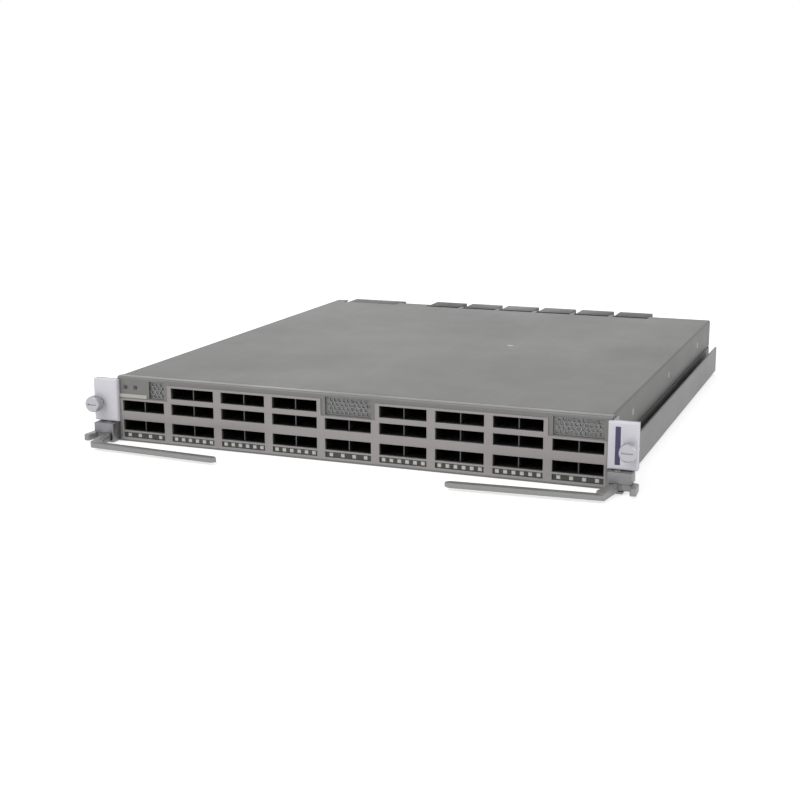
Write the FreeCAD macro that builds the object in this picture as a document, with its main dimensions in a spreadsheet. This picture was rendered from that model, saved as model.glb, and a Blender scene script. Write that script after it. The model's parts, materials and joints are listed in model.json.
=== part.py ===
import FreeCAD, Part
import Sketcher
import os
import re

from FreeCAD import Vector

# Switch line card for a modular chassis, in millimetres, +Z up.
# The origin is the middle of the tray's underside. The port face looks towards -Y, the connectors
# towards +Y, and X runs across the card with the left ear at -X.

os.makedirs("parts", exist_ok=True)
doc = FreeCAD.newDocument("switch_line_card")
sheet = doc.addObject("Spreadsheet::Sheet", "sizes")

SIZES = [
    # the body
    ("body_width", 400.0, "over the cover's side flanges"),
    ("body_depth", 438.0, "front panel face to the tray's rear edge"),
    ("body_height", 53.0, "underside of the tray to the top of the cover"),
    ("tray_sheet", 1.5, "thickness of the tray's steel"),
    ("cover_sheet", 1.2, "thickness of the cover's steel"),
    ("panel_sheet", 2.0, "thickness of the front panel"),
    ("sheet_gap", 0.1, "clearance between lapped sheets"),
    ("bend_radius", 1.6, "outer radius of the sheet bends"),
    ("panel_return", 12.0, "depth of the panel's side and bottom returns"),
    ("panel_top_return", 7.0, "depth of the panel's top return"),
    ("cover_seam", 0.8, "open seam between the panel and the cover"),
    ("cover_drop", 25.0, "height of the cover's side flanges"),
    ("rear_lip", 6.0, "height of the tray's rear lip"),
    ("notch_depth", 12.0, "depth of the cover's rear notches"),
    # the ports
    ("column_pitch", 44.17, "from one port column to the next"),
    ("cell_width", 37.5, "window over two ports"),
    ("window_height", 8.8, "height of a port window"),
    ("row_bottom", 13.5, "centre height of the bottom row"),
    ("row_middle", 29.3, "centre height of the middle row"),
    ("row_top", 42.2, "centre height of the top row"),
    ("cage_wall", 0.6, "thickness of the cage sheet"),
    ("port_wall", 0.8, "wall between two ports"),
    ("cage_inner", 9.4, "inner height of a cage bay"),
    ("cage_depth", 48.0, "length of a cage"),
    ("cage_leg", 3.0, "width of a cage's press-fit leg"),
    ("host_depth", 12.0, "length of the connector at the back of a port"),
    ("host_slot", 2.2, "height of its card slot"),
    # the bezel round the ports
    ("bezel_sheet", 0.8, "how far the bezel stands proud of the panel"),
    ("bezel_margin", 1.6, "bezel's end to the side of the body"),
    ("bezel_low", 1.5, "lower edge of the bezel"),
    ("bezel_band", 1.8, "band left above a row of ports"),
    # the vents
    ("vent_bottom", 36.2, "lower edge of a vent window"),
    ("vent_top", 50.2, "upper edge of a vent window"),
    ("left_vent_width", 13.5, "width of the first column's vent window"),
    ("grille_lap", 1.1, "how far a grille laps behind its window"),
    ("grille_sheet", 1.0, "thickness of a grille"),
    ("comb_flats", 2.8, "honeycomb hole across its flats"),
    ("comb_web", 0.75, "metal left between honeycomb holes"),
    # the indicators
    ("light_slot_low", 3.3, "lower edge of the indicator slot"),
    ("light_slot_high", 7.7, "upper edge of the indicator slot"),
    ("light_square", 2.9, "width and height of one light pipe"),
    ("light_recess", 0.6, "how far the holder sits back in its slot"),
    ("status_inset", 2.6, "first status light from the column's outer edge"),
    ("status_pitch", 9.0, "from one status light to the other"),
    ("status_height", 44.5, "height of the status lights"),
    ("label_width", 24.5, "width of the bare label plate"),
    ("label_low", 35.9, "lower edge of the label plate"),
    ("label_high", 38.9, "upper edge of the label plate"),
    ("label_lap", 2.6, "label plate's end outboard of the column"),
    ("label_sheet", 0.5, "thickness of the label plate"),
    ("holder_depth", 5.0, "thickness of the holder behind the panel"),
    # the board
    ("board_sheet", 3.0, "thickness of the main board"),
    ("board_setback", 4.0, "front edge of the board behind the panel face"),
    ("board_margin", 3.0, "board edge to the tray's inner wall"),
    ("board_rear", 6.0, "rear edge of the board ahead of the tray's rear edge"),
    ("standoff_flats", 5.5, "hexagon standoff across its flats"),
    ("screw_radius", 1.5, "radius of an M3 screw"),
    ("screw_head", 2.7, "head radius of an M3 screw"),
    ("screw_fit", 0.2, "clearance of a screw in its hole"),
    ("standoff_reach", 180.0, "outer standoffs from the middle"),
    ("standoff_front", 90.0, "first row of standoffs behind the face"),
    ("standoff_rear", 40.0, "last row of standoffs ahead of the rear edge"),
    ("chip_side", 50.0, "side of a switching chip"),
    ("chip_tall", 3.2, "height of a switching chip"),
    ("chip_reach", 108.0, "chips from the middle"),
    ("chip_share", 0.40, "chips behind the face, as a share of the body's depth"),
    ("sink_width", 92.0, "width of a heat sink"),
    ("sink_share", 0.25, "length of a heat sink, as a share of the body's depth"),
    ("sink_base", 5.0, "thickness of a heat sink's base"),
    ("sink_tall", 24.0, "height of a heat sink"),
    ("fin_sheet", 1.6, "thickness of a fin"),
    ("brick_width", 36.8, "width of a power converter"),
    ("brick_length", 58.0, "length of a power converter"),
    ("brick_back", 70.0, "converters' rear faces ahead of the tray's rear edge"),
    ("brick_tall", 12.0, "height of a power converter"),
    # the rear connectors
    ("signal_width", 33.5, "width of a signal connector"),
    ("signal_pitch", 39.7, "from one signal connector to the next"),
    ("signal_shift", 23.15, "middle of the six connectors from the card's middle"),
    ("signal_reach", 22.0, "how far the connectors stand out at the rear"),
    ("signal_low", 8.0, "underside of the mating part"),
    ("signal_foot", 16.0, "length of the connector on the board"),
    ("wafer_slot", 1.8, "width of a contact slot"),
    ("wafer_depth", 9.0, "depth of a contact slot"),
    ("power_width", 58.0, "width of the power connector"),
    ("power_middle", -158.0, "middle of the power connector"),
    ("power_top", 51.4, "top of the power connector"),
    ("blade_slot", 4.2, "width of a power blade slot"),
    ("guide_left", -109.0, "left guide socket"),
    ("guide_right", 168.0, "right guide socket"),
    ("guide_side", 15.0, "side of a guide socket"),
    ("guide_bore", 4.0, "radius of the guide bore"),
    ("guide_depth", 24.0, "depth of the guide bore"),
    # the side rails
    ("rail_reach", 7.5, "how far a rail stands out from the body"),
    ("rail_low", 2.0, "underside of a rail"),
    ("rail_high", 27.0, "upper edge of a rail"),
    ("rail_sheet", 1.5, "thickness of a rail"),
    ("rail_start", 16.0, "front end of a rail behind the panel face"),
    # the ears
    ("ear_lap", 1.5, "how far an ear cover laps the panel's end"),
    ("ear_reach", 19.8, "how far an ear stands out beyond the body"),
    ("ear_low", 16.5, "underside of an ear cover"),
    ("ear_high", 50.5, "top of an ear cover"),
    ("ear_thick", 4.5, "how far an ear cover stands out from the panel"),
    ("ear_wall", 1.6, "wall of an ear cover"),
    ("ear_round", 0.8, "chamfer of an ear cover's front edges"),
    ("bracket_sheet", 2.0, "thickness of an ear bracket"),
    ("bracket_leg", 14.0, "length of the bracket's leg along the body"),
    ("bracket_leg_low", 29.0, "underside of that leg"),
    ("clevis_reach", 9.6, "how far the bracket's clevis stands out in front"),
    ("clevis_high", 15.6, "top of the clevis"),
    ("clevis_end", 17.3, "outer side of the clevis beyond the body"),
    ("web_sheet", 1.4, "thickness of the clevis's inboard web"),
    ("lug_end", 11.0, "outer side of the pivot lug beyond the body"),
    ("lug_sheet", 1.4, "thickness of the bracket's pivot lug"),
    ("lug_low", 0.4, "underside of the pivot lug"),
    ("marker_shift", 5.6, "middle of the marker strip beyond the body"),
    ("marker_width", 3.8, "width of the marker strip"),
    ("marker_deep", 1.0, "depth of the marker strip's recess"),
    ("marker_margin", 3.2, "ear left above and below the marker strip"),
    # the captive screws
    ("screw_shift", 14.7, "captive screw beyond the body"),
    ("screw_height", 31.5, "captive screw above the underside"),
    ("shank_radius", 2.0, "radius of the captive screw"),
    ("shank_fit", 0.3, "clearance of the screw in its ferrule"),
    ("ferrule_radius", 3.8, "radius of the ferrule"),
    ("ferrule_reach", 2.0, "how far the ferrule stands out from the ear"),
    ("knob_radius", 6.2, "radius of the knob"),
    ("knob_bore", 4.3, "radius inside the knob's skirt"),
    ("knob_length", 7.5, "length of the knob"),
    ("press_travel", 3.5, "travel of the captive screw"),
    ("press_rest", 0.5, "gap left under the knob when pressed home"),
    ("shank_tail", 5.0, "thread behind the ear at rest"),
    ("clip_radius", 3.6, "radius of the retaining clip"),
    ("clip_sheet", 0.8, "thickness of the retaining clip"),
    ("groove_depth", 0.5, "depth of the clip's groove"),
    # the levers
    ("pivot_shift", 6.3, "pivot pin beyond the body"),
    ("pivot_front", 5.2, "pivot pin ahead of the panel face"),
    ("pin_radius", 1.6, "radius of the pivot pin"),
    ("pin_fit", 0.06, "running clearance round the pivot pin"),
    ("hub_radius", 4.3, "radius of a lever's hub"),
    ("hub_low", 2.2, "underside of a lever"),
    ("hub_high", 7.4, "top of a lever's hub"),
    ("axial_gap", 0.4, "gap above a lever's hub"),
    ("bar_thick", 3.4, "thickness of a lever's bar"),
    ("bar_width", 6.6, "width of a lever's bar"),
    ("bar_length", 110.0, "length of a lever's bar"),
    ("bar_start", 7.5, "inner leg's end inboard of the pivot"),
    ("bar_ahead", 27.0, "inner leg's end ahead of the pivot"),
    ("lever_angle", 3.8, "how far a lever stands open at rest, in degrees"),
    ("leg_root", 5.4, "width of a leg at the hub"),
    ("leg_thick", 5.0, "thickness of a leg"),
    ("claw_reach", 15.0, "claw's outer side outboard of the pivot"),
    ("claw_width", 5.6, "width of the claw"),
    ("claw_ahead", 13.6, "claw's tip ahead of the pivot"),
]

for row, (alias, value, note) in enumerate(SIZES, start=1):
    sheet.set(f"A{row}", note)
    sheet.set(f"B{row}", str(value))
    sheet.setAlias(f"B{row}", alias)
doc.recompute()

VALUE = {alias: value for alias, value, note in SIZES}
COLUMNS = 9
THREE_ROW_COLUMNS = (1, 2, 3, 5, 6, 7)
TWO_ROW_COLUMNS = (0, 4, 8)
SIGNAL_CONNECTORS = 6
SIDES = {"left": -1, "right": 1}

# Places along Y, measured from the two ends of the body.
FRONT = "(-body_depth / 2)"
REAR = "(body_depth / 2)"
BOARD_MIDDLE = "((row_bottom + row_middle) / 2)"
BOARD_TOP = f"({BOARD_MIDDLE} + board_sheet / 2)"
BOARD_UNDER = f"({BOARD_MIDDLE} - board_sheet / 2)"
TRAY_HALF = "(body_width / 2 - cover_sheet - sheet_gap)"
INNER_HALF = f"({TRAY_HALF} - tray_sheet)"
CAGE_HALF = "(cage_inner / 2 + cage_wall)"

# Places across the card, measured from the middle and beyond the side of the body.
EAR_INNER = "(body_width / 2 - ear_lap)"
EAR_OUTER = "(body_width / 2 + ear_reach)"
MARKER_X = "(body_width / 2 + marker_shift)"
SCREW_X = "(body_width / 2 + screw_shift)"
PIVOT_X = "(body_width / 2 + pivot_shift)"
CLEVIS_LOW = "(hub_high + axial_gap)"
CHIP_Y = "(-body_depth / 2 + body_depth * chip_share)"

parts = []


def spelled(text):
    """Expression text with every alias written as a cell of the sheet."""
    return re.sub(r"[a-z_]{3,}", lambda found: "sizes." + found.group(0), str(text))


def number(text):
    """The value of an expression, for counts and for choices made in code."""
    return float(sheet.evalExpression(spelled(text)))


def bind(thing, prop, text):
    """Tie one property of an object to the sheet."""
    thing.setExpression(prop, spelled(text))


def keep(thing, label):
    """Register a finished sub-part under its node name."""
    thing.Label = label
    parts.append(thing)
    return thing


def new_body(name):
    """An empty PartDesign body."""
    return doc.addObject("PartDesign::Body", name + "_body")


def origin_feature(body, role):
    """One of the planes or axes of a body's own origin."""
    return [item for item in body.Origin.OriginFeatures if item.Role == role][0]


def new_sketch(body, plane, across, up, lift, turn="0"):
    """A sketch on an origin plane, its own origin moved across, up and along the normal."""
    sketch = body.newObject("Sketcher::SketchObject", "sketch")
    sketch.AttachmentSupport = (origin_feature(body, plane + "_Plane"), "")
    sketch.MapMode = "FlatFace"
    bind(sketch, "AttachmentOffset.Base.x", across)
    bind(sketch, "AttachmentOffset.Base.y", up)
    bind(sketch, "AttachmentOffset.Base.z", lift)
    if turn != "0":
        bind(sketch, "AttachmentOffset.Rotation.Angle", turn)
    return sketch


def draw_rectangle(sketch, width, height):
    """A rectangle centred on the sketch's origin, its two sizes bound to the sheet."""
    half_w, half_h = number(width) / 2, number(height) / 2
    corners = [(-half_w, -half_h), (half_w, -half_h), (half_w, half_h), (-half_w, half_h)]
    for index, corner in enumerate(corners):
        following = corners[(index + 1) % 4]
        sketch.addGeometry(Part.LineSegment(Vector(*corner, 0), Vector(*following, 0)))
    for index in range(4):
        sketch.addConstraint(Sketcher.Constraint("Coincident", index, 2, (index + 1) % 4, 1))
        direction = "Horizontal" if index % 2 == 0 else "Vertical"
        sketch.addConstraint(Sketcher.Constraint(direction, index))
    sketch.addConstraint(Sketcher.Constraint("Symmetric", 0, 1, 2, 1, -1, 1))
    wide = sketch.addConstraint(Sketcher.Constraint("DistanceX", 0, 1, 0, 2, 2 * half_w))
    tall = sketch.addConstraint(Sketcher.Constraint("DistanceY", 1, 1, 1, 2, 2 * half_h))
    bind(sketch, f"Constraints[{wide}]", width)
    bind(sketch, f"Constraints[{tall}]", height)


def draw_circle(sketch, radius):
    """A circle on the sketch's origin, its radius bound to the sheet."""
    circle = Part.Circle(Vector(0, 0, 0), Vector(0, 0, 1), number(radius))
    sketch.addGeometry(circle)
    sketch.addConstraint(Sketcher.Constraint("Coincident", 0, 3, -1, 1))
    size = sketch.addConstraint(Sketcher.Constraint("Radius", 0, number(radius)))
    bind(sketch, f"Constraints[{size}]", radius)


def draw_outline(sketch, points):
    """A closed outline of straight edges, each corner placed by two bound distances."""
    placed = [(number(x), number(y)) for x, y in points]
    for index, corner in enumerate(placed):
        following = placed[(index + 1) % len(placed)]
        sketch.addGeometry(Part.LineSegment(Vector(*corner, 0), Vector(*following, 0)))
    for index, (x, y) in enumerate(points):
        after = (index + 1) % len(points)
        sketch.addConstraint(Sketcher.Constraint("Coincident", index, 2, after, 1))
        for kind, text, value in (("DistanceX", x, placed[index][0]), ("DistanceY", y, placed[index][1])):
            size = sketch.addConstraint(Sketcher.Constraint(kind, -1, 1, index, 1, value))
            bind(sketch, f"Constraints[{size}]", text)


def extrude(body, sketch, kind, length):
    """A Pad or a Pocket of a sketch over a bound length."""
    feature = body.newObject("PartDesign::" + kind, kind.lower())
    feature.Profile = sketch
    bind(feature, "Length", length)
    return feature


def lift_for(plane, kind, start, end):
    """Where a sketch lies so that its Pad or Pocket spans start to end along the world's axis."""
    if plane == "XZ":
        return f"-({end})" if kind == "Pad" else f"-({start})"
    return start if kind == "Pad" else end


def block(body, kind, plane, centre, size, start, end):
    """Add or cut a rectangular prism that spans start to end along the plane's normal."""
    sketch = new_sketch(body, plane, centre[0], centre[1], lift_for(plane, kind, start, end))
    draw_rectangle(sketch, size[0], size[1])
    return extrude(body, sketch, kind, f"({end}) - ({start})")


def disc(body, kind, plane, centre, radius, start, end):
    """Add or cut a cylinder that spans start to end along the plane's normal."""
    sketch = new_sketch(body, plane, centre[0], centre[1], lift_for(plane, kind, start, end))
    draw_circle(sketch, radius)
    return extrude(body, sketch, kind, f"({end}) - ({start})")


def prism(body, kind, plane, centre, points, start, end, turn="0"):
    """Add or cut a prism of a straight-edged outline."""
    sketch = new_sketch(body, plane, centre[0], centre[1], lift_for(plane, kind, start, end), turn)
    draw_outline(sketch, points)
    return extrude(body, sketch, kind, f"({end}) - ({start})")


def row_of(body, originals, count, length, axis="X_Axis"):
    """Repeat features in a straight row over a bound length."""
    pattern = body.newObject("PartDesign::LinearPattern", "row")
    pattern.Originals = originals
    pattern.Direction = (origin_feature(body, axis), [""])
    bind(pattern, "Length", length)
    pattern.Occurrences = count
    body.Tip = pattern
    return pattern


def edges_where(shape, test):
    """Names of the edges whose bounding box passes a test."""
    return [f"Edge{i}" for i, edge in enumerate(shape.Edges, start=1) if test(edge)]


def fillet(body, radius, test):
    """Round the edges of the body's tip that pass a test."""
    doc.recompute()
    base = body.Tip
    feature = body.newObject("PartDesign::Fillet", "fillet")
    feature.Base = (base, edges_where(base.Shape, test))
    bind(feature, "Radius", radius)
    return feature


def chamfer(body, size, test):
    """Break the edges of the body's tip that pass a test."""
    doc.recompute()
    base = body.Tip
    feature = body.newObject("PartDesign::Chamfer", "chamfer")
    feature.Base = (base, edges_where(base.Shape, test))
    bind(feature, "Size", size)
    return feature


def runs_along(edge, axis):
    """True for a straight edge that is parallel to one world axis."""
    spans = {"X": edge.BoundBox.XLength, "Y": edge.BoundBox.YLength, "Z": edge.BoundBox.ZLength}
    return spans[axis] > 0.01 and all(span < 0.01 for key, span in spans.items() if key != axis)


def near(value, text, slack=0.05):
    """True when a measured value lies at the place that an expression gives."""
    return abs(value - number(text)) < slack


def cylinder(name, radius, height, x, y, z):
    """A Part cylinder standing along Z."""
    item = doc.addObject("Part::Cylinder", name)
    bind(item, "Radius", radius)
    bind(item, "Height", height)
    for axis, text in zip("xyz", (x, y, z)):
        bind(item, "Placement.Base." + axis, text)
    return item


def group(label, items):
    """Identical small pieces kept together as separate solids of one node."""
    bundle = doc.addObject("Part::Compound", label + "_group")
    bundle.Links = items
    return keep(bundle, label)


def column_x(column):
    """Centre of a port column."""
    return f"({column - (COLUMNS - 1) // 2} * column_pitch)"


LEFT_VENT_X = f"({column_x(0)} + (cell_width - left_vent_width) / 2)"


def signal_x(index):
    """Centre of a signal connector."""
    return f"(signal_shift + {index - (SIGNAL_CONNECTORS - 1) / 2} * signal_pitch)"


def standoff_places():
    """Where the board is held: three rows of three."""
    columns = ("-standoff_reach", "0", "standoff_reach")
    first = f"({FRONT} + standoff_front)"
    last = f"({REAR} - standoff_rear)"
    return [(x, f"({first} + {row} / 2 * ({last} - {first}))") for row in range(3) for x in columns]


def hexagon(flats):
    """Corners of a hexagon of a given size across its flats."""
    return [(f"{flats} / 2 * {x / HEXAGON[1][0]:.6f}", f"{flats} / 2 * {z / HEXAGON[1][0]:.6f}") for x, z in HEXAGON]


# ---------------------------------------------------------------- tray, cover and panel


def make_tray():
    """Folded tray: floor, two side walls and a low rear lip, open at the front."""
    body = new_body("card_tray")
    start = f"({FRONT} + panel_sheet + sheet_gap)"
    depth = f"({REAR} - {start})"
    middle = f"(({REAR} + {start}) / 2)"
    top = "body_height - cover_sheet - sheet_gap"
    block(body, "Pad", "XY", ("0", middle), (f"2 * {TRAY_HALF}", depth), "0", top)
    inner_depth = f"({depth} - tray_sheet + 10)"
    inner_middle = f"({REAR} - tray_sheet - {inner_depth} / 2)"
    block(body, "Pocket", "XY", ("0", inner_middle), (f"2 * {INNER_HALF}", inner_depth), "tray_sheet", f"{top} + 1")
    block(body, "Pocket", "XZ", ("0", "rear_lip + body_height / 2"), (f"2 * {INNER_HALF}", "body_height"),
          f"{REAR} - 2 * tray_sheet", f"{REAR} + 1")
    fillet(body, "bend_radius", lambda edge: runs_along(edge, "Y") and near(edge.BoundBox.ZMax, "0")
           and near(abs(edge.BoundBox.XMin), TRAY_HALF))
    doc.recompute()
    for x, y in standoff_places():
        disc(body, "Pocket", "XY", (x, y), "screw_radius + screw_fit", "-1", "tray_sheet + 1")
    for side in SIDES.values():
        for y in flange_screw_places():
            disc(body, "Pocket", "YZ", (y, FLANGE_SCREW_Z), "screw_radius + screw_fit",
                 f"{side} * {TRAY_HALF} - 2 * tray_sheet", f"{side} * {TRAY_HALF} + 2 * tray_sheet")
    return keep(body, "card_tray")


FLANGE_SCREW_Z = "(body_height - cover_drop / 2)"
FLANGE_SCREW_ROWS = 3


def flange_screw_places():
    """Where screws pass the cover's flanges, spread evenly along the body."""
    return [f"({FRONT} + body_depth * {2 * row + 1} / {2 * FLANGE_SCREW_ROWS})" for row in range(FLANGE_SCREW_ROWS)]


MIDDLE_SCREW = ("55", f"({FRONT} + 238)")


def make_cover():
    """Flat cover with two down-turned flanges and a notch over every rear connector."""
    body = new_body("top_cover")
    start = f"({FRONT} + panel_top_return + cover_seam)"
    block(body, "Pad", "XY", ("0", f"(({start} + {REAR}) / 2)"), ("body_width", f"({REAR} - {start})"),
          "body_height - cover_drop", "body_height")
    block(body, "Pocket", "XZ", ("0", "body_height - cover_sheet - cover_drop / 2"),
          ("body_width - 2 * cover_sheet", "cover_drop"), f"{FRONT} - 1", f"{REAR} + 1")
    returns = f"({FRONT} + panel_return + cover_seam)"
    for side in SIDES.values():
        block(body, "Pocket", "YZ", (f"({returns} - panel_return / 2)", "body_height - cover_sheet - cover_drop / 2"),
              ("panel_return", "cover_drop"), f"{side} * body_width / 2 - 2 * cover_sheet",
              f"{side} * body_width / 2 + 2 * cover_sheet")
    fillet(body, "bend_radius", lambda edge: runs_along(edge, "Y") and near(edge.BoundBox.ZMin, "body_height")
           and near(abs(edge.BoundBox.XMin), "body_width / 2"))
    doc.recompute()
    notch = block(body, "Pocket", "XY", (signal_x(0), f"({REAR} - notch_depth / 2 + 1)"),
                  ("signal_width + 2", "notch_depth + 2"), "body_height - 2 * cover_sheet", "body_height + 1")
    doc.recompute()
    row_of(body, [notch], SIGNAL_CONNECTORS, f"{SIGNAL_CONNECTORS - 1} * signal_pitch")
    block(body, "Pocket", "XY", ("power_middle", f"({REAR} - notch_depth / 2 + 1)"),
          ("power_width + 2", "notch_depth + 2"), "body_height - 2 * cover_sheet", "body_height + 1")
    for side in SIDES.values():
        for y in flange_screw_places():
            disc(body, "Pocket", "YZ", (y, FLANGE_SCREW_Z), "screw_head + screw_fit",
                 f"{side} * body_width / 2 - 2 * cover_sheet", f"{side} * body_width / 2 + 2 * cover_sheet")
    disc(body, "Pocket", "XY", MIDDLE_SCREW, "screw_head + screw_fit", "body_height - 2 * cover_sheet", "body_height + 1")
    return keep(body, "top_cover")


def cut_windows(body, start, end):
    """Cut the port windows and the indicator slots of every column."""
    slots = [
        block(body, "Pocket", "XZ", (column_x(0), row), ("cell_width", "window_height"), start, end)
        for row in ("row_bottom", "row_middle")
    ]
    slots.append(block(body, "Pocket", "XZ", (column_x(0), "(light_slot_low + light_slot_high) / 2"),
                       ("cell_width", "light_slot_high - light_slot_low"), start, end))
    doc.recompute()
    row_of(body, slots, COLUMNS, f"{COLUMNS - 1} * column_pitch")
    for first in (1, 5):
        high = block(body, "Pocket", "XZ", (column_x(first), "row_top"), ("cell_width", "window_height"), start, end)
        doc.recompute()
        row_of(body, [high], 3, "2 * column_pitch")


def make_panel():
    """Front panel: a shallow box of sheet with windows for ports, vents and indicators."""
    body = new_body("front_panel")
    far = f"({FRONT} + panel_return)"
    block(body, "Pad", "XZ", ("0", "body_height / 2"), ("body_width", "body_height"), FRONT, far)
    block(body, "Pocket", "XZ", ("0", "(body_height - cover_sheet + tray_sheet + sheet_gap + cover_sheet) / 2"),
          ("body_width - 2 * cover_sheet", "body_height - tray_sheet - sheet_gap - 2 * cover_sheet"),
          f"{FRONT} + panel_sheet", f"{far} + 1")
    block(body, "Pocket", "XZ", ("0", "(tray_sheet + sheet_gap) / 2 - 1"),
          ("2 * body_width", "tray_sheet + sheet_gap + 2"), f"{FRONT} + panel_sheet", f"{far} + 1")
    block(body, "Pocket", "XY", ("0", f"({FRONT} + panel_top_return + panel_return / 2)"),
          ("2 * body_width", "panel_return"), "body_height - cover_sheet", "body_height + 1")
    corner = f"({TRAY_HALF} + sheet_gap - {INNER_HALF} + sheet_gap)"
    for side in SIDES.values():
        block(body, "Pocket", "XZ", (f"{side} * ({TRAY_HALF} + sheet_gap - {corner} / 2)", "tray_sheet"),
              (corner, "2 * (tray_sheet + cover_sheet)"), f"{FRONT} + panel_sheet", f"{far} + 1")
    fillet(body, "bend_radius", lambda edge: near(edge.BoundBox.YMax, FRONT) and runs_along(edge, "X")
           and near(edge.BoundBox.ZMin, "body_height"))
    doc.recompute()
    behind = f"{FRONT} + 3 * panel_sheet"
    before = f"{FRONT} - 1"
    cut_windows(body, before, behind)
    vent_height = "(vent_bottom + vent_top) / 2"
    for column in TWO_ROW_COLUMNS[1:]:
        block(body, "Pocket", "XZ", (column_x(column), vent_height), ("cell_width", "vent_top - vent_bottom"), before, behind)
    block(body, "Pocket", "XZ", (LEFT_VENT_X, vent_height), ("left_vent_width", "vent_top - vent_bottom"), before, behind)
    return keep(body, "front_panel")


def make_bezel():
    """Bright bezel on the panel's face, lower over the columns that have a vent."""
    body = new_body("port_bezel")
    front = f"({FRONT} - bezel_sheet)"
    end = "(body_width / 2 - bezel_margin)"
    tall = "(row_top + window_height / 2 + bezel_band)"
    short = "(row_middle + window_height / 2 + bezel_band)"
    outer_step = "(3.5 * column_pitch)"
    inner_step = "(0.5 * column_pitch)"
    right = [(end, short), (outer_step, short), (outer_step, tall), (inner_step, tall), (inner_step, short)]
    left = [(f"-{x}", z) for x, z in reversed(right)]
    outline = [(f"-{end}", "bezel_low"), (end, "bezel_low")] + right + left
    prism(body, "Pad", "XZ", ("0", "0"), outline, front, FRONT)
    cut_windows(body, f"{front} - 1", f"{FRONT} + 1")
    return keep(body, "port_bezel")


def grille_solid(window):
    """Honeycomb sheet for a vent window of a given width, standing on its own middle."""
    width = window + 2 * number("grille_lap")
    height = number("vent_top - vent_bottom + 2 * grille_lap")
    flats = number("comb_flats")
    pitch = flats + number("comb_web")
    rise = pitch * 3 ** 0.5 / 2
    radius = flats / 3 ** 0.5
    across = int((window - flats) // pitch)
    up = int((number("vent_top - vent_bottom") - 2 * radius) // rise)
    corners = [(-width / 2, -height / 2), (width / 2, -height / 2), (width / 2, height / 2), (-width / 2, height / 2)]
    wires = [Part.makePolygon([Vector(x, 0, z) for x, z in corners + corners[:1]])]
    for row in range(up + 1):
        shift = pitch / 2 if row % 2 else 0.0
        for place in range(across + (0 if row % 2 else 1)):
            centre = Vector(place * pitch - across * pitch / 2 + shift, 0, (row - up / 2) * rise)
            hole = [centre + Vector(radius * x, 0, radius * z) for x, z in HEXAGON]
            wires.append(Part.makePolygon(hole + hole[:1]))
    return Part.Face(wires).extrude(Vector(0, number("grille_sheet"), 0))


def make_grilles():
    """Honeycomb vent sheets, each lapping behind its window in the panel."""
    grilles = []
    for column in TWO_ROW_COLUMNS:
        first = column == TWO_ROW_COLUMNS[0]
        item = doc.addObject("Part::Feature", "vent_grille")
        item.Shape = grille_solid(number("left_vent_width" if first else "cell_width"))
        bind(item, "Placement.Base.x", LEFT_VENT_X if first else column_x(column))
        bind(item, "Placement.Base.y", f"{FRONT} + panel_sheet")
        bind(item, "Placement.Base.z", "(vent_bottom + vent_top) / 2")
        grilles.append(item)
    return group("vent_grilles", grilles)


HEXAGON = [(0.0, 1.0), (0.866025, 0.5), (0.866025, -0.5), (0.0, -1.0), (-0.866025, -0.5), (-0.866025, 0.5)]


# ---------------------------------------------------------------- ports


def make_cage(name, column, rows, legs_up):
    """Sheet cage round two or four ports, open to the front, on four legs."""
    body = new_body(name)
    x = column_x(column)
    start = f"({FRONT} + panel_sheet)"
    end = f"({start} + cage_depth)"
    low = f"({rows[0]} - {CAGE_HALF})"
    high = f"({rows[-1]} + {CAGE_HALF})"
    block(body, "Pad", "XZ", (x, f"({low} + {high}) / 2"), ("cell_width + 2 * cage_wall", f"{high} - {low}"), start, end)
    bay = "((cell_width - port_wall) / 2)"
    for row in rows:
        for side in SIDES.values():
            block(body, "Pocket", "XZ", (f"{x} + {side} * ({bay} + port_wall) / 2", row), (bay, "cage_inner"),
                  f"{start} - 1", f"{end} - cage_wall")
    if len(rows) > 1:
        between = "(row_top - row_middle - cage_inner - 2 * cage_wall)"
        block(body, "Pocket", "XZ", (x, "(row_top + row_middle) / 2"), ("cell_width", between),
              f"{start} - 1", f"{end} - cage_wall")
    reach = f"({low} - {BOARD_TOP})" if not legs_up else f"({BOARD_UNDER} - {high})"
    bottom = BOARD_TOP if not legs_up else high
    for along in (f"{start} + board_setback + 2 * cage_leg", f"{end} - 2 * cage_leg"):
        for side in SIDES.values():
            block(body, "Pad", "XY", (f"{x} + {side} * (cell_width + cage_wall) / 2", along), ("cage_wall", "cage_leg"),
                  bottom, f"{bottom} + {reach}")
    return keep(body, name)


def make_host_connectors():
    """The connector with a card slot at the back of every port, one solid a port."""
    plug = new_body("host_connector")
    deep = "host_depth"
    block(plug, "Pad", "XZ", ("0", "0"), ("(cell_width - port_wall) / 2 - 2", "cage_inner - 1.6"), f"-{deep}", "0")
    block(plug, "Pocket", "XZ", ("0", "0"), ("(cell_width - port_wall) / 2 - 4.4", "host_slot"), f"-{deep} - 1",
          f"-{deep} / 3")
    doc.recompute()
    copies = []
    back = f"{FRONT} + panel_sheet + cage_depth - cage_wall"
    for column in range(COLUMNS):
        rows = ["row_bottom", "row_middle"] + (["row_top"] if column in THREE_ROW_COLUMNS else [])
        for row in rows:
            for side in SIDES.values():
                copy = doc.addObject("App::Link", "host")
                copy.LinkedObject = plug
                bind(copy, "Placement.Base.x", f"{column_x(column)} + {side} * (cell_width + port_wall) / 4")
                bind(copy, "Placement.Base.y", back)
                bind(copy, "Placement.Base.z", row)
                copies.append(copy)
    return group("host_connectors", copies)


def light_places(column):
    """Centres of the light pipes of one column, counted from its middle."""
    count = 6 if column in THREE_ROW_COLUMNS else 4
    return [f"({2 * index + 1 - count} * cell_width / {2 * count})" for index in range(count)]


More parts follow.
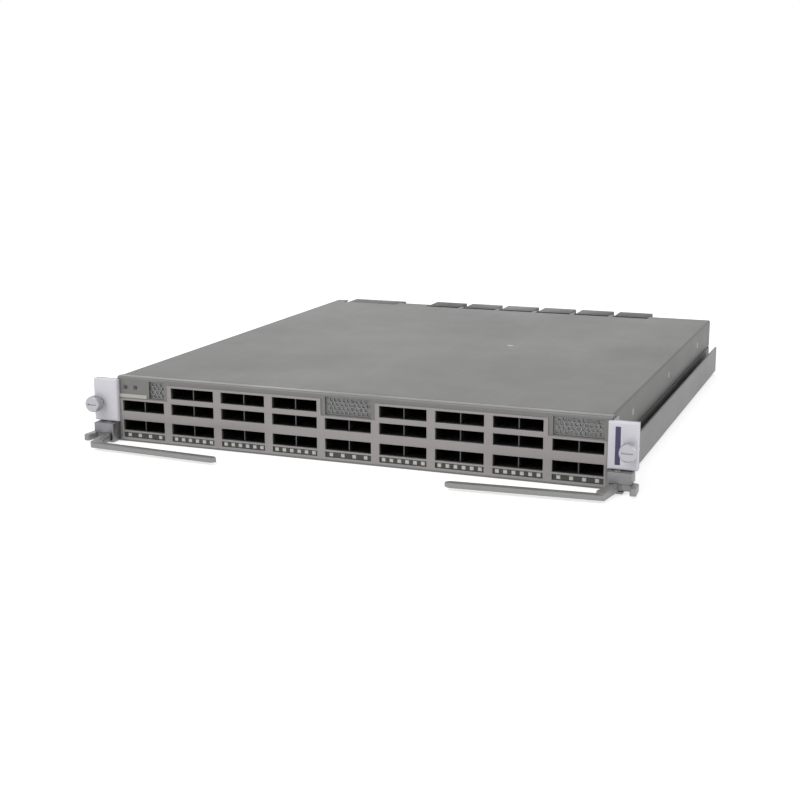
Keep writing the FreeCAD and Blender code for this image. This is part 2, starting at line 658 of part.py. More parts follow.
def make_light_parts():
    """A dark holder behind each indicator slot, and the comb of clear pipes in it."""
    holders, pipes = [], []
    middle = "((light_slot_low + light_slot_high) / 2)"
    seat = "(tray_sheet + sheet_gap + cover_sheet)"
    front = f"({FRONT} + panel_sheet)"
    for column in range(COLUMNS):
        x = column_x(column)
        holder = new_body("light_holder")
        back = f"({front} + holder_depth)"
        top = f"(row_bottom - {CAGE_HALF} - sheet_gap)"
        block(holder, "Pad", "XZ", (x, f"({seat} + {top}) / 2"), ("cell_width + 2", f"{top} - {seat}"), front, back)
        block(holder, "Pad", "XZ", (x, middle), ("cell_width - 2 * sheet_gap", "light_slot_high - light_slot_low - 2 * sheet_gap"),
              f"{FRONT} + light_recess", front)
        comb = new_body("light_pipe")
        block(comb, "Pad", "XZ", (x, middle), ("cell_width - 2", "light_square"), back, f"{back} + 2 * cage_wall")
        for place in light_places(column):
            across = f"{x} + {place}"
            block(holder, "Pocket", "XZ", (across, middle), ("light_square + 2 * sheet_gap", "light_square + 2 * sheet_gap"),
                  f"{FRONT} - 1", f"{back} + 1")
            block(comb, "Pad", "XZ", (across, middle), ("light_square", "light_square"),
                  f"{FRONT} + light_recess / 2", back)
        holders.append(holder)
        pipes.append(comb)
    group("light_pipe_holders", holders)
    group("light_pipes", pipes)


def make_status_lights():
    """Two small status windows beside the first column's vent."""
    items = []
    for place in range(2):
        body = new_body("status_light")
        across = f"{column_x(0)} - cell_width / 2 + status_inset + {place} * status_pitch"
        block(body, "Pad", "XZ", (across, "status_height"), ("light_square", "light_square"), f"{FRONT} - light_recess", FRONT)
        items.append(body)
    return group("status_lights", items)


def make_label_plate():
    """Bare plate above the first column's ports."""
    body = new_body("label_plate")
    across = f"{column_x(0)} - cell_width / 2 - label_lap + label_width / 2"
    block(body, "Pad", "XZ", (across, "(label_low + label_high) / 2"), ("label_width", "label_high - label_low"),
          f"{FRONT} - label_sheet", FRONT)
    return keep(body, "label_plate")


# ---------------------------------------------------------------- board and what stands on it


def make_board():
    """Main board between the middle and the bottom row of ports."""
    body = new_body("main_board")
    start = f"({FRONT} + board_setback)"
    end = f"({REAR} - board_rear)"
    block(body, "Pad", "XY", ("0", f"({start} + {end}) / 2"), (f"2 * ({INNER_HALF} - board_margin)", f"{end} - {start}"),
          BOARD_UNDER, BOARD_TOP)
    for x, y in standoff_places():
        disc(body, "Pocket", "XY", (x, y), "screw_radius + screw_fit", f"{BOARD_UNDER} - 1", f"{BOARD_TOP} + 1")
    return keep(body, "main_board")


def hexagon_post(name, x, y, low, high, bore_low):
    """Hexagonal spacer with a bore for a screw."""
    body = new_body(name)
    prism(body, "Pad", "XY", (x, y), hexagon("standoff_flats"), low, high)
    disc(body, "Pocket", "XY", (x, y), "screw_radius + screw_fit / 2", bore_low, f"{high} + 1")
    return body


def make_standoffs():
    """Posts that carry the board on the tray's floor."""
    posts = [hexagon_post("standoff", x, y, "tray_sheet", BOARD_UNDER, "tray_sheet - 1") for x, y in standoff_places()]
    return group("board_standoffs", posts)


def make_board_screws():
    """Hexagon-headed screws through the board into the standoffs."""
    screws = []
    for x, y in standoff_places():
        body = new_body("board_screw")
        disc(body, "Pad", "XY", (x, y), "screw_radius", f"{BOARD_UNDER} - 3 * screw_radius", BOARD_TOP)
        prism(body, "Pad", "XY", (x, y), hexagon("(2 * screw_head)"), BOARD_TOP, f"{BOARD_TOP} + screw_radius")
        screws.append(body)
    return group("board_screws", screws)


def make_cover_screws():
    """Flat-headed screws through the cover's flanges, and one in the middle of the cover."""
    screws = []
    for side in SIDES.values():
        for y in flange_screw_places():
            body = new_body("cover_screw")
            outer = f"({side} * body_width / 2)"
            spans = [(f"{outer} - cover_sheet", outer), (f"{outer} - cover_sheet - 3 * tray_sheet", f"{outer} - cover_sheet")]
            if side < 0:
                spans = [(outer, f"{outer} + cover_sheet"), (f"{outer} + cover_sheet", f"{outer} + cover_sheet + 3 * tray_sheet")]
            disc(body, "Pad", "YZ", (y, FLANGE_SCREW_Z), "screw_head", *spans[0])
            disc(body, "Pad", "YZ", (y, FLANGE_SCREW_Z), "screw_radius", *spans[1])
            screws.append(body)
    body = new_body("cover_screw")
    disc(body, "Pad", "XY", MIDDLE_SCREW, "screw_head", "body_height - cover_sheet", "body_height")
    disc(body, "Pad", "XY", MIDDLE_SCREW, "screw_radius", "body_height - cover_sheet - 3 * screw_radius", "body_height - cover_sheet")
    screws.append(body)
    return group("cover_screws", screws)


def make_cover_post():
    """Pillar on the board that takes the cover's middle screw."""
    top = "(body_height - cover_sheet)"
    return keep(hexagon_post("cover_post", *MIDDLE_SCREW, BOARD_TOP, top, f"{top} - 4 * screw_radius"), "cover_post")


def make_chips():
    """The two switching chips."""
    chips = []
    for side in SIDES.values():
        chip = doc.addObject("Part::Box", "chip")
        for prop, text in (("Length", "chip_side"), ("Width", "chip_side"), ("Height", "chip_tall"),
                           ("Placement.Base.x", f"{side} * chip_reach - chip_side / 2"),
                           ("Placement.Base.y", f"{CHIP_Y} - chip_side / 2"),
                           ("Placement.Base.z", BOARD_TOP)):
            bind(chip, prop, text)
        chips.append(chip)
    return group("switch_chips", chips)


def make_heat_sink(name, side):
    """Finned heat sink on a switching chip, its fins along the airflow."""
    body = new_body(name)
    x = f"({side} * chip_reach)"
    y = CHIP_Y
    length = "(body_depth * sink_share)"
    low = f"({BOARD_TOP} + chip_tall)"
    block(body, "Pad", "XY", (x, y), ("sink_width", length), low, f"{low} + sink_tall")
    gaps = 14
    pitch = f"((sink_width - fin_sheet) / {gaps})"
    gap = block(body, "Pocket", "XZ", (f"{x} - (sink_width - fin_sheet) / 2 + {pitch} / 2", f"{low} + (sink_base + sink_tall + 1) / 2"),
                (f"{pitch} - fin_sheet", "sink_tall - sink_base + 1"), f"{y} - {length}", f"{y} + {length}")
    doc.recompute()
    row_of(body, [gap], gaps, f"{gaps - 1} * {pitch}")
    return keep(body, name)


def make_power_converters():
    """Converter bricks between the power connector and the chips."""
    bricks = []
    for place in range(3):
        brick = doc.addObject("Part::Box", "brick")
        for prop, text in (("Length", "brick_width"), ("Width", "brick_length"), ("Height", "brick_tall"),
                           ("Placement.Base.x", f"-{INNER_HALF} + 2 * board_margin + {place} * (brick_width + 3 * board_margin)"),
                           ("Placement.Base.y", f"{REAR} - brick_back - brick_length"),
                           ("Placement.Base.z", BOARD_TOP)):
            bind(brick, prop, text)
        bricks.append(brick)
    return group("power_converters", bricks)


# ---------------------------------------------------------------- rear interface


def make_signal_connector(index):
    """Right-angle connector: a foot on the board and a slotted mating block behind it."""
    name = f"signal_connector_{index + 1}"
    body = new_body(name)
    x = signal_x(index)
    board_end = f"({REAR} - board_rear)"
    block(body, "Pad", "XY", (x, f"{board_end} - signal_foot / 2"), ("signal_width", "signal_foot"),
          BOARD_TOP, "body_height - 3 * cover_sheet")
    block(body, "Pad", "XZ", (x, "(signal_low + body_height) / 2"), ("signal_width", "body_height - signal_low"),
          board_end, f"{REAR} + signal_reach")
    slots = 8
    pitch = f"(signal_width / {slots})"
    slot = block(body, "Pocket", "XZ", (f"{x} - signal_width / 2 + {pitch} / 2", "(signal_low + body_height) / 2"),
                 ("wafer_slot", "body_height - signal_low - 4 * cover_sheet"),
                 f"{REAR} + signal_reach - wafer_depth", f"{REAR} + signal_reach + 1")
    doc.recompute()
    row_of(body, [slot], slots, f"{slots - 1} * {pitch}")
    return keep(body, name)


def make_power_connector():
    """Power connector with six blade slots."""
    body = new_body("power_connector")
    board_end = f"({REAR} - board_rear)"
    block(body, "Pad", "XY", ("power_middle", f"{board_end} - signal_foot / 2"), ("power_width", "signal_foot"),
          BOARD_TOP, "power_top - 2 * cover_sheet")
    block(body, "Pad", "XZ", ("power_middle", "(signal_low + power_top) / 2"), ("power_width", "power_top - signal_low"),
          board_end, f"{REAR} + signal_reach")
    slots = 6
    pitch = f"(power_width / {slots})"
    slot = block(body, "Pocket", "XZ", (f"power_middle - power_width / 2 + {pitch} / 2", "(signal_low + power_top) / 2"),
                 ("blade_slot", "power_top - signal_low - 8 * cover_sheet"),
                 f"{REAR} + signal_reach - 1.6 * wafer_depth", f"{REAR} + signal_reach + 1")
    doc.recompute()
    row_of(body, [slot], slots, f"{slots - 1} * {pitch}")
    return keep(body, "power_connector")


def make_guide_sockets():
    """Two square sockets, each with a blind bore that takes a guide pin from behind."""
    sockets = []
    end = f"({REAR} + signal_reach)"
    height = f"({BOARD_TOP} + guide_side / 2)"
    for x in ("guide_left", "guide_right"):
        body = new_body("guide_socket")
        block(body, "Pad", "XZ", (x, height), ("guide_side", "guide_side"),
              f"{end} - guide_depth - board_rear - signal_foot", end)
        disc(body, "Pocket", "XZ", (x, height), "guide_bore", f"{end} - guide_depth", f"{end} + 1")
        sockets.append(body)
    return group("guide_sockets", sockets)


# ---------------------------------------------------------------- sides and ears


def make_side_rail(name, side):
    """Open-topped channel that runs in the chassis guide."""
    body = new_body(name)
    inner = TRAY_HALF
    outer = "(body_width / 2 + rail_reach)"
    outline = [
        (f"{side} * {inner}", "rail_low"),
        (f"{side} * {outer}", "rail_low"),
        (f"{side} * {outer}", "rail_high"),
        (f"{side} * ({outer} - rail_sheet)", "rail_high"),
        (f"{side} * ({outer} - rail_sheet)", "rail_low + rail_sheet"),
        (f"{side} * ({inner} + rail_sheet)", "rail_low + rail_sheet"),
        (f"{side} * ({inner} + rail_sheet)", "rail_high"),
        (f"{side} * {inner}", "rail_high"),
    ]
    prism(body, "Pad", "XZ", ("0", "0"), outline, f"{FRONT} + rail_start", REAR)
    fillet(body, "rail_sheet * 0.9", lambda edge: runs_along(edge, "Y") and near(edge.BoundBox.ZMax, "rail_low")
           and near(abs(edge.BoundBox.XMin), outer))
    return keep(body, name)


def make_ear_bracket(name, side):
    """Bracket behind the ear cover, with a leg along the body and a clevis for the lever's pivot."""
    body = new_body(name)
    inner = "(body_width / 2 + sheet_gap)"
    back = f"({FRONT} + bracket_sheet)"
    front = f"({FRONT} - clevis_reach)"
    clevis_outer = "(body_width / 2 + clevis_end)"
    lug_outer = "(body_width / 2 + lug_end)"
    block(body, "Pad", "XZ", (f"{side} * ({inner} + {EAR_OUTER}) / 2", "(ear_low + ear_high) / 2"),
          (f"{EAR_OUTER} - {inner}", "ear_high - ear_low"), FRONT, back)
    block(body, "Pad", "XY", (f"{side} * ({inner} + bracket_sheet / 2)", f"{back} + (bracket_leg - bracket_sheet) / 2"),
          ("bracket_sheet", "bracket_leg - bracket_sheet"), "bracket_leg_low", "ear_high")
    clevis_x = f"{side} * ({inner} + {clevis_outer}) / 2"
    block(body, "Pad", "XZ", (clevis_x, f"({CLEVIS_LOW} + clevis_high) / 2"),
          (f"{clevis_outer} - {inner}", f"clevis_high - {CLEVIS_LOW}"), front, back)
    block(body, "Pad", "XZ", (clevis_x, "(clevis_high + ear_low) / 2"), (f"{clevis_outer} - {inner}", "ear_low - clevis_high"),
          FRONT, back)
    block(body, "Pad", "XZ", (f"{side} * ({inner} + web_sheet / 2)", f"(lug_low + {CLEVIS_LOW}) / 2"),
          ("web_sheet", f"{CLEVIS_LOW} - lug_low"), front, back)
    block(body, "Pad", "XZ", (f"{side} * ({inner} + {lug_outer}) / 2", "lug_low + lug_sheet / 2"),
          (f"{lug_outer} - {inner}", "lug_sheet"), front, back)
    disc(body, "Pocket", "XY", (f"{side} * {PIVOT_X}", f"{FRONT} - pivot_front"), "pin_radius + pin_fit", "-1", "clevis_high + 1")
    disc(body, "Pocket", "XZ", (f"{side} * {SCREW_X}", "screw_height"), "ferrule_radius + sheet_gap", f"{FRONT} - 1", f"{back} + 1")
    return keep(body, name)


def make_ear_cover(name, side, marked):
    """Moulded cap over the ear, hollow behind, with a boss round the screw's ferrule."""
    body = new_body(name)
    front = f"({FRONT} - ear_thick)"
    width = f"({EAR_OUTER} - {EAR_INNER})"
    middle = f"({side} * ({EAR_INNER} + {EAR_OUTER}) / 2)"
    height = "(ear_high - ear_low)"
    centre = "((ear_low + ear_high) / 2)"
    block(body, "Pad", "XZ", (middle, centre), (width, height), front, FRONT)
    chamfer(body, "ear_round", lambda edge: near(edge.BoundBox.YMin, front) and near(edge.BoundBox.YMax, front))
    doc.recompute()
    block(body, "Pocket", "XZ", (middle, centre), (f"{width} - 2 * ear_wall", f"{height} - 2 * ear_wall"),
          f"{front} + 1.5 * ear_wall", f"{FRONT} + 1")
    screw = (f"{side} * {SCREW_X}", "screw_height")
    disc(body, "Pad", "XZ", screw, "ferrule_radius + ear_wall", f"{front} + ear_wall", FRONT)
    disc(body, "Pocket", "XZ", screw, "ferrule_radius + sheet_gap", f"{front} - 1", f"{FRONT} + 1")
    if marked:
        block(body, "Pocket", "XZ", (f"{side} * {MARKER_X}", centre), ("marker_width", f"{height} - 2 * marker_margin"),
              f"{front} - 1", f"{front} + marker_deep")
    return keep(body, name)


def make_marker_strip(side):
    """Coloured strip let into the right ear."""
    front = f"({FRONT} - ear_thick)"
    body = new_body("marker_strip")
    block(body, "Pad", "XZ", (f"{side} * {MARKER_X}", "(ear_low + ear_high) / 2"),
          ("marker_width - 2 * sheet_gap", "ear_high - ear_low - 2 * marker_margin - 2 * sheet_gap"), front, f"{front} + marker_deep")
    return keep(body, "marker_strip")


def make_pivot_pins():
    """Plain pins through the brackets' lugs, the levers' hubs and the clevises."""
    pins = [
        cylinder("pivot_pin", "pin_radius", "clevis_high - lug_low", f"{side} * {PIVOT_X}", f"{FRONT} - pivot_front", "lug_low")
        for side in SIDES.values()
    ]
    return group("pivot_pins", pins)


def make_lever(name, side):
    """Ejector lever: a hub on the pivot, a hooked claw outward and a leg that carries the long bar."""
    body = new_body(name)
    x, y = f"({side} * {PIVOT_X})", f"({FRONT} - pivot_front)"
    half = "(bar_width / 2)"
    root = "(leg_root / 2)"
    turn = f"{side} * lever_angle"
    leg_high = "hub_low + leg_thick"
    disc(body, "Pad", "XY", (x, y), "hub_radius", "hub_low", "hub_high")
    inner_leg = [
        (f"{side} * {root}", "0"),
        (f"{-side} * {root}", "0"),
        (f"{-side} * (bar_start + {half})", f"-bar_ahead + {half}"),
        (f"{-side} * (bar_start - {half})", f"-bar_ahead - {half}"),
    ]
    prism(body, "Pad", "XY", (x, y), inner_leg, "hub_low", leg_high, turn)
    claw = [
        ("0", f"-{root}"),
        (f"{side} * (claw_reach - claw_width)", f"-{root}"),
        (f"{side} * (claw_reach - claw_width + 1)", "-claw_ahead + 1"),
        (f"{side} * (claw_reach - claw_width + 2)", "-claw_ahead"),
        (f"{side} * (claw_reach - 0.5)", "-claw_ahead"),
        (f"{side} * claw_reach", "-claw_ahead + 2"),
        (f"{side} * claw_reach", f"{root} - 2"),
        (f"{side} * (claw_reach - 2)", root),
        ("0", root),
    ]
    prism(body, "Pad", "XY", (x, y), claw, "hub_low", leg_high, turn)
    bar = [
        (f"{-side} * (bar_start - {half})", f"-bar_ahead - {half}"),
        (f"{-side} * (bar_start + bar_length - {half})", f"-bar_ahead - {half}"),
        (f"{-side} * (bar_start + bar_length)", "-bar_ahead"),
        (f"{-side} * (bar_start + bar_length - {half})", f"-bar_ahead + {half}"),
        (f"{-side} * (bar_start - {half})", f"-bar_ahead + {half}"),
    ]
    prism(body, "Pad", "XY", (x, y), bar, "hub_low", "hub_low + bar_thick", turn)
    disc(body, "Pocket", "XY", (x, y), "pin_radius + pin_fit", "hub_low - 1", "hub_high + 1")
    return keep(body, name)


def make_ferrules():
    """Pressed-in tubes that guide the captive screws."""
    front = f"({FRONT} - ear_thick - ferrule_reach)"
    back = f"({FRONT} + bracket_sheet)"
    tubes = []
    for side in SIDES.values():
        centre = (f"{side} * {SCREW_X}", "screw_height")
        body = new_body("ferrule")
        disc(body, "Pad", "XZ", centre, "ferrule_radius", front, back)
        disc(body, "Pocket", "XZ", centre, "shank_radius + shank_fit", f"{front} - 1", f"{back} + 1")
        tubes.append(body)
    return group("screw_ferrules", tubes)


def make_thumbscrew(name, side):
    """Captive screw: a skirted knob over the ferrule and a shank with a clip groove."""
    knob_back = f"({FRONT} - ear_thick - press_travel - press_rest)"
    knob_front = f"({knob_back} - knob_length)"
    clip = f"({FRONT} + bracket_sheet + axial_gap)"
    tail = f"({clip} + clip_sheet + shank_tail)"
    centre = (f"{side} * {SCREW_X}", "screw_height")
    body = new_body(name)
    disc(body, "Pad", "XZ", centre, "knob_radius", knob_front, knob_back)
    chamfer(body, "cage_wall", lambda edge: near(edge.BoundBox.YMax, knob_front))
    doc.recompute()
    disc(body, "Pocket", "XZ", centre, "knob_bore", f"{knob_back} - knob_length * 0.72", f"{knob_back} + 1")
    disc(body, "Pad", "XZ", centre, "shank_radius", f"{knob_back} - knob_length * 0.72", f"{clip} - cage_wall / 4")
    disc(body, "Pad", "XZ", centre, "shank_radius - groove_depth", f"{clip} - cage_wall / 4", f"{clip} + clip_sheet + cage_wall / 4")
    disc(body, "Pad", "XZ", centre, "shank_radius", f"{clip} + clip_sheet + cage_wall / 4", tail)
    block(body, "Pocket", "XZ", centre, ("knob_radius * 1.3", "1.2"), f"{knob_front} - 1", f"{knob_front} + 1.4")
    return keep(body, name)


def make_retaining_clip(name, side):
    """Open ring in the screw's groove, behind the ear, that keeps the screw captive."""
    start = f"({FRONT} + bracket_sheet + axial_gap)"
    centre = (f"{side} * {SCREW_X}", "screw_height")
    body = new_body(name)
    disc(body, "Pad", "XZ", centre, "clip_radius", start, f"{start} + clip_sheet")
    disc(body, "Pocket", "XZ", centre, "shank_radius - groove_depth + sheet_gap", f"{start} - 1", f"{start} + clip_sheet + 1")
    block(body, "Pocket", "XZ", (centre[0], "screw_height - clip_radius"), ("2 * (shank_radius - groove_depth)", "2 * clip_radius"),
          f"{start} - 1", f"{start} + clip_sheet + 1")
    return keep(body, name)


def make_all():
    """Build every sub-part of the card."""
    make_tray()
    make_cover()
    make_panel()
    make_bezel()
    make_grilles()
    for column in range(COLUMNS):
        rows = ("row_middle", "row_top") if column in THREE_ROW_COLUMNS else ("row_middle",)
        make_cage(f"upper_cage_{column + 1}", column, rows, legs_up=False)
        make_cage(f"lower_cage_{column + 1}", column, ("row_bottom",), legs_up=True)
    make_host_connectors()
    make_light_parts()
    make_status_lights()
    make_label_plate()
    make_board()
    make_standoffs()
    make_board_screws()
    make_cover_screws()
    make_cover_post()
    make_chips()
    for name, side in SIDES.items():
        make_heat_sink(f"{name}_heat_sink", side)
    make_power_converters()
    for index in range(SIGNAL_CONNECTORS):
        make_signal_connector(index)
    make_power_connector()
    make_guide_sockets()
    make_pivot_pins()
    make_ferrules()
    for name, side in SIDES.items():
        make_side_rail(f"{name}_side_rail", side)
        make_ear_bracket(f"{name}_ear_bracket", side)
        make_ear_cover(f"{name}_ear_cover", side, marked=side > 0)
        make_lever(f"{name}_ejector_lever", side)
        make_thumbscrew(f"{name}_thumbscrew", side)
        make_retaining_clip(f"{name}_retaining_clip", side)
    make_marker_strip(SIDES["right"])


def check_document():
    """Stop if any object failed or any sub-part has no valid shape."""
    for item in doc.Objects:
        if any(word in state for state in item.State for word in ("Invalid", "Error")):
            raise RuntimeError(f"{item.Name} ({item.Label}) did not recompute: {item.State}")
    for item in parts:
        if item.Shape.isNull() or not item.Shape.isValid():
            raise RuntimeError(f"{item.Label} has no valid shape")


make_all()
doc.recompute()
check_document()
for item in parts:
    item.Shape.exportStep(f"parts/{item.Label}.step")
    print(item.Label, len(item.Shape.Solids), round(item.Shape.Volume, 1))
print(len(parts), "nodes")
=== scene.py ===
import json
import logging
import math
from collections.abc import Callable, Iterator
from contextlib import contextmanager
from dataclasses import dataclass
from enum import Enum

import bmesh
import bpy
from mathutils import Matrix, Quaternion, Vector


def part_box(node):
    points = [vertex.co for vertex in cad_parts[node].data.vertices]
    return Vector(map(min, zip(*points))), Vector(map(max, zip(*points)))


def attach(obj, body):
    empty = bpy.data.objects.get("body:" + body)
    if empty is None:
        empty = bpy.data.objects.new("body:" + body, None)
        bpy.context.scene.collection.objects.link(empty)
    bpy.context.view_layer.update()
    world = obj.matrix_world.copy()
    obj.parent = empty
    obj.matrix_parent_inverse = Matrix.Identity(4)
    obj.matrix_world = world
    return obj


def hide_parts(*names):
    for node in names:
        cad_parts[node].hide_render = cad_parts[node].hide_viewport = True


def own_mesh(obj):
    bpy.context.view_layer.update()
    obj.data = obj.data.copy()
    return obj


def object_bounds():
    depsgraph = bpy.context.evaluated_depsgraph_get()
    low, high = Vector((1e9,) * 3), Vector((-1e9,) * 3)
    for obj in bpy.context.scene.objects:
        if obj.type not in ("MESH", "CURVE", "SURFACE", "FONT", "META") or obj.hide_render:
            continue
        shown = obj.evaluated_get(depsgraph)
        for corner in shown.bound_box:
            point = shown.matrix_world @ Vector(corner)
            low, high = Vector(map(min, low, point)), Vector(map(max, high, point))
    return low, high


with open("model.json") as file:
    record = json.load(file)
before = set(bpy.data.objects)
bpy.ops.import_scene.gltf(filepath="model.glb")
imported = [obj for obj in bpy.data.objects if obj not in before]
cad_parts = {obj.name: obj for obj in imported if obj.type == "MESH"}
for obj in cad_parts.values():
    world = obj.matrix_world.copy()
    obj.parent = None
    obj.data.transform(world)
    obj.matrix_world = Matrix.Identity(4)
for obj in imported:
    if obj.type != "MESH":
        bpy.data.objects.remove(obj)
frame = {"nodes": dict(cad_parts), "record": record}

logging.basicConfig(level=logging.INFO, format="%(message)s")
log = logging.getLogger("line_card")

MM = 0.001
WELD = 0.001 * MM        # vertices closer than this are one
FACING = 0.9             # a face points in a direction if the cosine between them is over this
EDGE_RUB_AND_HIGHLIGHT = 0.15         # how far a rubbed edge goes towards white: partly wear, partly a painted highlight along every edge
SOFT_EDGE = 0.25 * MM    # radius that every edge seems rounded by
QUARTER = math.pi / 2
CAD_LOW, CAD_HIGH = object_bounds()
COLUMNS = 9
THREE_ROW_COLUMNS = (1, 2, 3, 5, 6, 7)
SIGNAL_CONNECTORS = 6
SIDES = {"left": -1, "right": 1}
Piece = bpy.types.Object
Signal = bpy.types.NodeSocket
Tree = bpy.types.NodeTree
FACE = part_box("front_panel")[0].y
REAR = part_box("card_tray")[1].y
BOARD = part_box("main_board")[1].z


# ---------------------------------------------------------------- finishes


class Grain(Enum):
    """How the surface of a finish is worked."""

    ROLLED = "rolled"        # sheet metal, faint streaks along the sheet
    CAST = "cast"            # blasted or die-cast metal
    TURNED = "turned"        # machined round parts
    MOULDED = "moulded"      # moulded plastic with a fine texture
    LAMINATE = "laminate"    # circuit board with tracks under its mask


@dataclass(frozen=True)
class Finish:
    """One finish of the card.

    Attributes:
        name: name of the material.
        colour: base colour as sRGB bytes.
        grain: how the surface is worked.
        metallic: 1 for bare metal, less for a dull plating, 0 for plastic.
        roughness: middle roughness.
        uneven: how far the roughness wanders.
        tint: how far the colour wanders.
        relief: height of the grain, in millimetres.
        coat: clear coat over the colour.
    """

    name: str
    colour: tuple[int, int, int]
    grain: Grain
    metallic: float = 0.0
    roughness: float = 0.5
    uneven: float = 0.12
    tint: float = 0.05
    relief: float = 0.01
    coat: float = 0.0


def linear(colour: tuple[int, int, int]) -> tuple[float, float, float, float]:
    """Turn sRGB bytes into the linear colour that a shader takes.

    Args:
        colour: red, green and blue from 0 to 255.

    Returns:
        The linear colour with an alpha of 1.
    """
    scaled = [part / 255 for part in colour]
    flat = [part / 12.92 if part <= 0.04045 else ((part + 0.055) / 1.055) ** 2.4 for part in scaled]
    return (flat[0], flat[1], flat[2], 1.0)


def feed(tree: Tree, node: bpy.types.Node, inputs: dict) -> None:
    """Set or connect the inputs of a node.

    Args:
        tree: the tree that the node is in.
        node: the node.
        inputs: input name or number to its value, or to the socket that feeds it.
    """
    for label, value in inputs.items():
        if isinstance(value, Signal):
            tree.links.new(value, node.inputs[label])
        else:
            node.inputs[label].default_value = value


def add_node(tree: Tree, kind: str, inputs: dict | None = None, output: str | int = 0,
             **settings: object) -> Signal:
    """Add a shader node.

    Args:
        tree: the tree to add to.
        kind: its type, without the prefix that all shader nodes share.
        inputs: what feed takes.
        output: the output that is wanted.
        settings: the node's own settings.

    Returns:
        The wanted output.
    """
    node = tree.nodes.new(f"ShaderNode{kind}")
    for label, value in settings.items():
        setattr(node, label, value)
    feed(tree, node, inputs or {})
    return node.outputs[output]


class EffectGroups:
    """The node groups that several finishes share, each built once."""

    def __init__(self) -> None:
        """Build every group."""
        self.rubbed_edge_highlight = self._rubbed_edge_highlight_group()
        self.handling = self._handling()
        self.sheet_streaks = self._sheet_streaks()
        self.fine_texture = self._fine_texture()

    @staticmethod
    def _new(name: str, inputs: dict[str, float | None], outputs: tuple[str, ...]) -> tuple:
        """Start a group with named sockets.

        Args:
            name: name of the group.
            inputs: input name to its starting value, or None for a vector.
            outputs: names of the value outputs.

        Returns:
            The group, the sockets that its inputs come in by, and its output node.
        """
        group = bpy.data.node_groups.new(name, "ShaderNodeTree")
        for label, value in inputs.items():
            kind = "NodeSocketVector" if value is None else "NodeSocketFloat"
            socket = group.interface.new_socket(label, in_out="INPUT", socket_type=kind)
            if value is not None:
                socket.default_value = value
        for label in outputs:
            group.interface.new_socket(label, in_out="OUTPUT", socket_type="NodeSocketFloat")
        return group, group.nodes.new("NodeGroupInput").outputs, group.nodes.new("NodeGroupOutput")

    def _rubbed_edge_highlight_group(self) -> Tree:
        """Mask of the rubbed edges, which also paints a highlight on them: where the rounded normal leaves
        the flat one, broken by noise.

        Returns:
            The group.
        """
        group, given, end = self._new("rubbed_edge_highlight", {"Vector": None, "Width": 0.0006, "Broken": 0.5}, ("Mask",))
        rounded = add_node(group, "Bevel", {"Radius": given["Width"]}, samples=4)
        flat = add_node(group, "NewGeometry", output="Normal")
        agree = add_node(group, "VectorMath", {0: rounded, 1: flat}, "Value", operation="DOT_PRODUCT")
        edge = add_node(group, "MapRange", {"Value": agree, "From Min": 0.995, "From Max": 0.86})
        noise = add_node(group, "TexNoise", {"Vector": given["Vector"], "Scale": 380.0, "Detail": 3.0}, "Fac")
        patchy = add_node(group, "MapRange", {"Value": noise, "From Min": 0.35, "From Max": 0.62})
        broken = add_node(group, "Mix", {"Factor": given["Broken"], "A": 1.0, "B": patchy}, "Result")
        feed(group, end, {"Mask": add_node(group, "Math", {0: edge, 1: broken}, operation="MULTIPLY")})
        return group

    def _handling(self) -> Tree:
        """Slow patches left by handling, from -1 to 1.

        Returns:
            The group.
        """
        group, given, end = self._new("handling", {"Vector": None, "Scale": 9.0}, ("Patches",))
        broad = add_node(group, "TexNoise", {
            "Vector": given["Vector"], "Scale": given["Scale"], "Detail": 5.0, "Roughness": 0.6,
        }, "Fac")
        signed = {"Value": broad, "From Min": 0.3, "From Max": 0.7, "To Min": -1.0}
        feed(group, end, {"Patches": add_node(group, "MapRange", signed)})
        return group

    def _sheet_streaks(self) -> Tree:
        """Rolling streaks and soft crystal patches of plated sheet, each from -1 to 1.

        Returns:
            The group.
        """
        sockets = {"Vector": None, "Along": 14.0, "Across": 900.0}
        group, given, end = self._new("sheet_streaks", sockets, ("Streaks", "Crystals"))
        stretch = add_node(group, "CombineXYZ", {
            "X": given["Across"], "Y": given["Along"], "Z": given["Across"],
        })
        long = {0: given["Vector"], 1: stretch}
        scaled = add_node(group, "VectorMath", long, "Vector", operation="MULTIPLY")
        lines = add_node(group, "TexNoise", {"Vector": scaled, "Scale": 1.0, "Detail": 4.0}, "Fac")
        streaks = {"Value": lines, "From Min": 0.25, "From Max": 0.75, "To Min": -1.0}
        cells = {"Vector": given["Vector"], "Scale": 240.0, "Randomness": 1.0}
        crystal = add_node(group, "TexVoronoi", cells, "Color")
        shade = add_node(group, "SeparateColor", {"Color": crystal}, "Red")
        feed(group, end, {
            "Streaks": add_node(group, "MapRange", streaks),
            "Crystals": add_node(group, "MapRange", {"Value": shade, "To Min": -1.0}),
        })
        return group

    def _fine_texture(self) -> Tree:
        """Height of a blasted or moulded surface, from 0 to 1.

        Returns:
            The group.
        """
        group, given, end = self._new("fine_texture", {"Vector": None, "Scale": 2600.0}, ("Height",))
        grid = {"Vector": given["Vector"], "Scale": given["Scale"]}
        pits = add_node(group, "TexNoise", {**grid, "Detail": 2.0}, "Fac")
        cells = add_node(group, "TexVoronoi", grid, "Distance", feature="SMOOTH_F1")
        feed(group, end, {"Height": add_node(group, "Mix", {"Factor": 0.4, "A": pits, "B": cells}, "Result")})
        return group


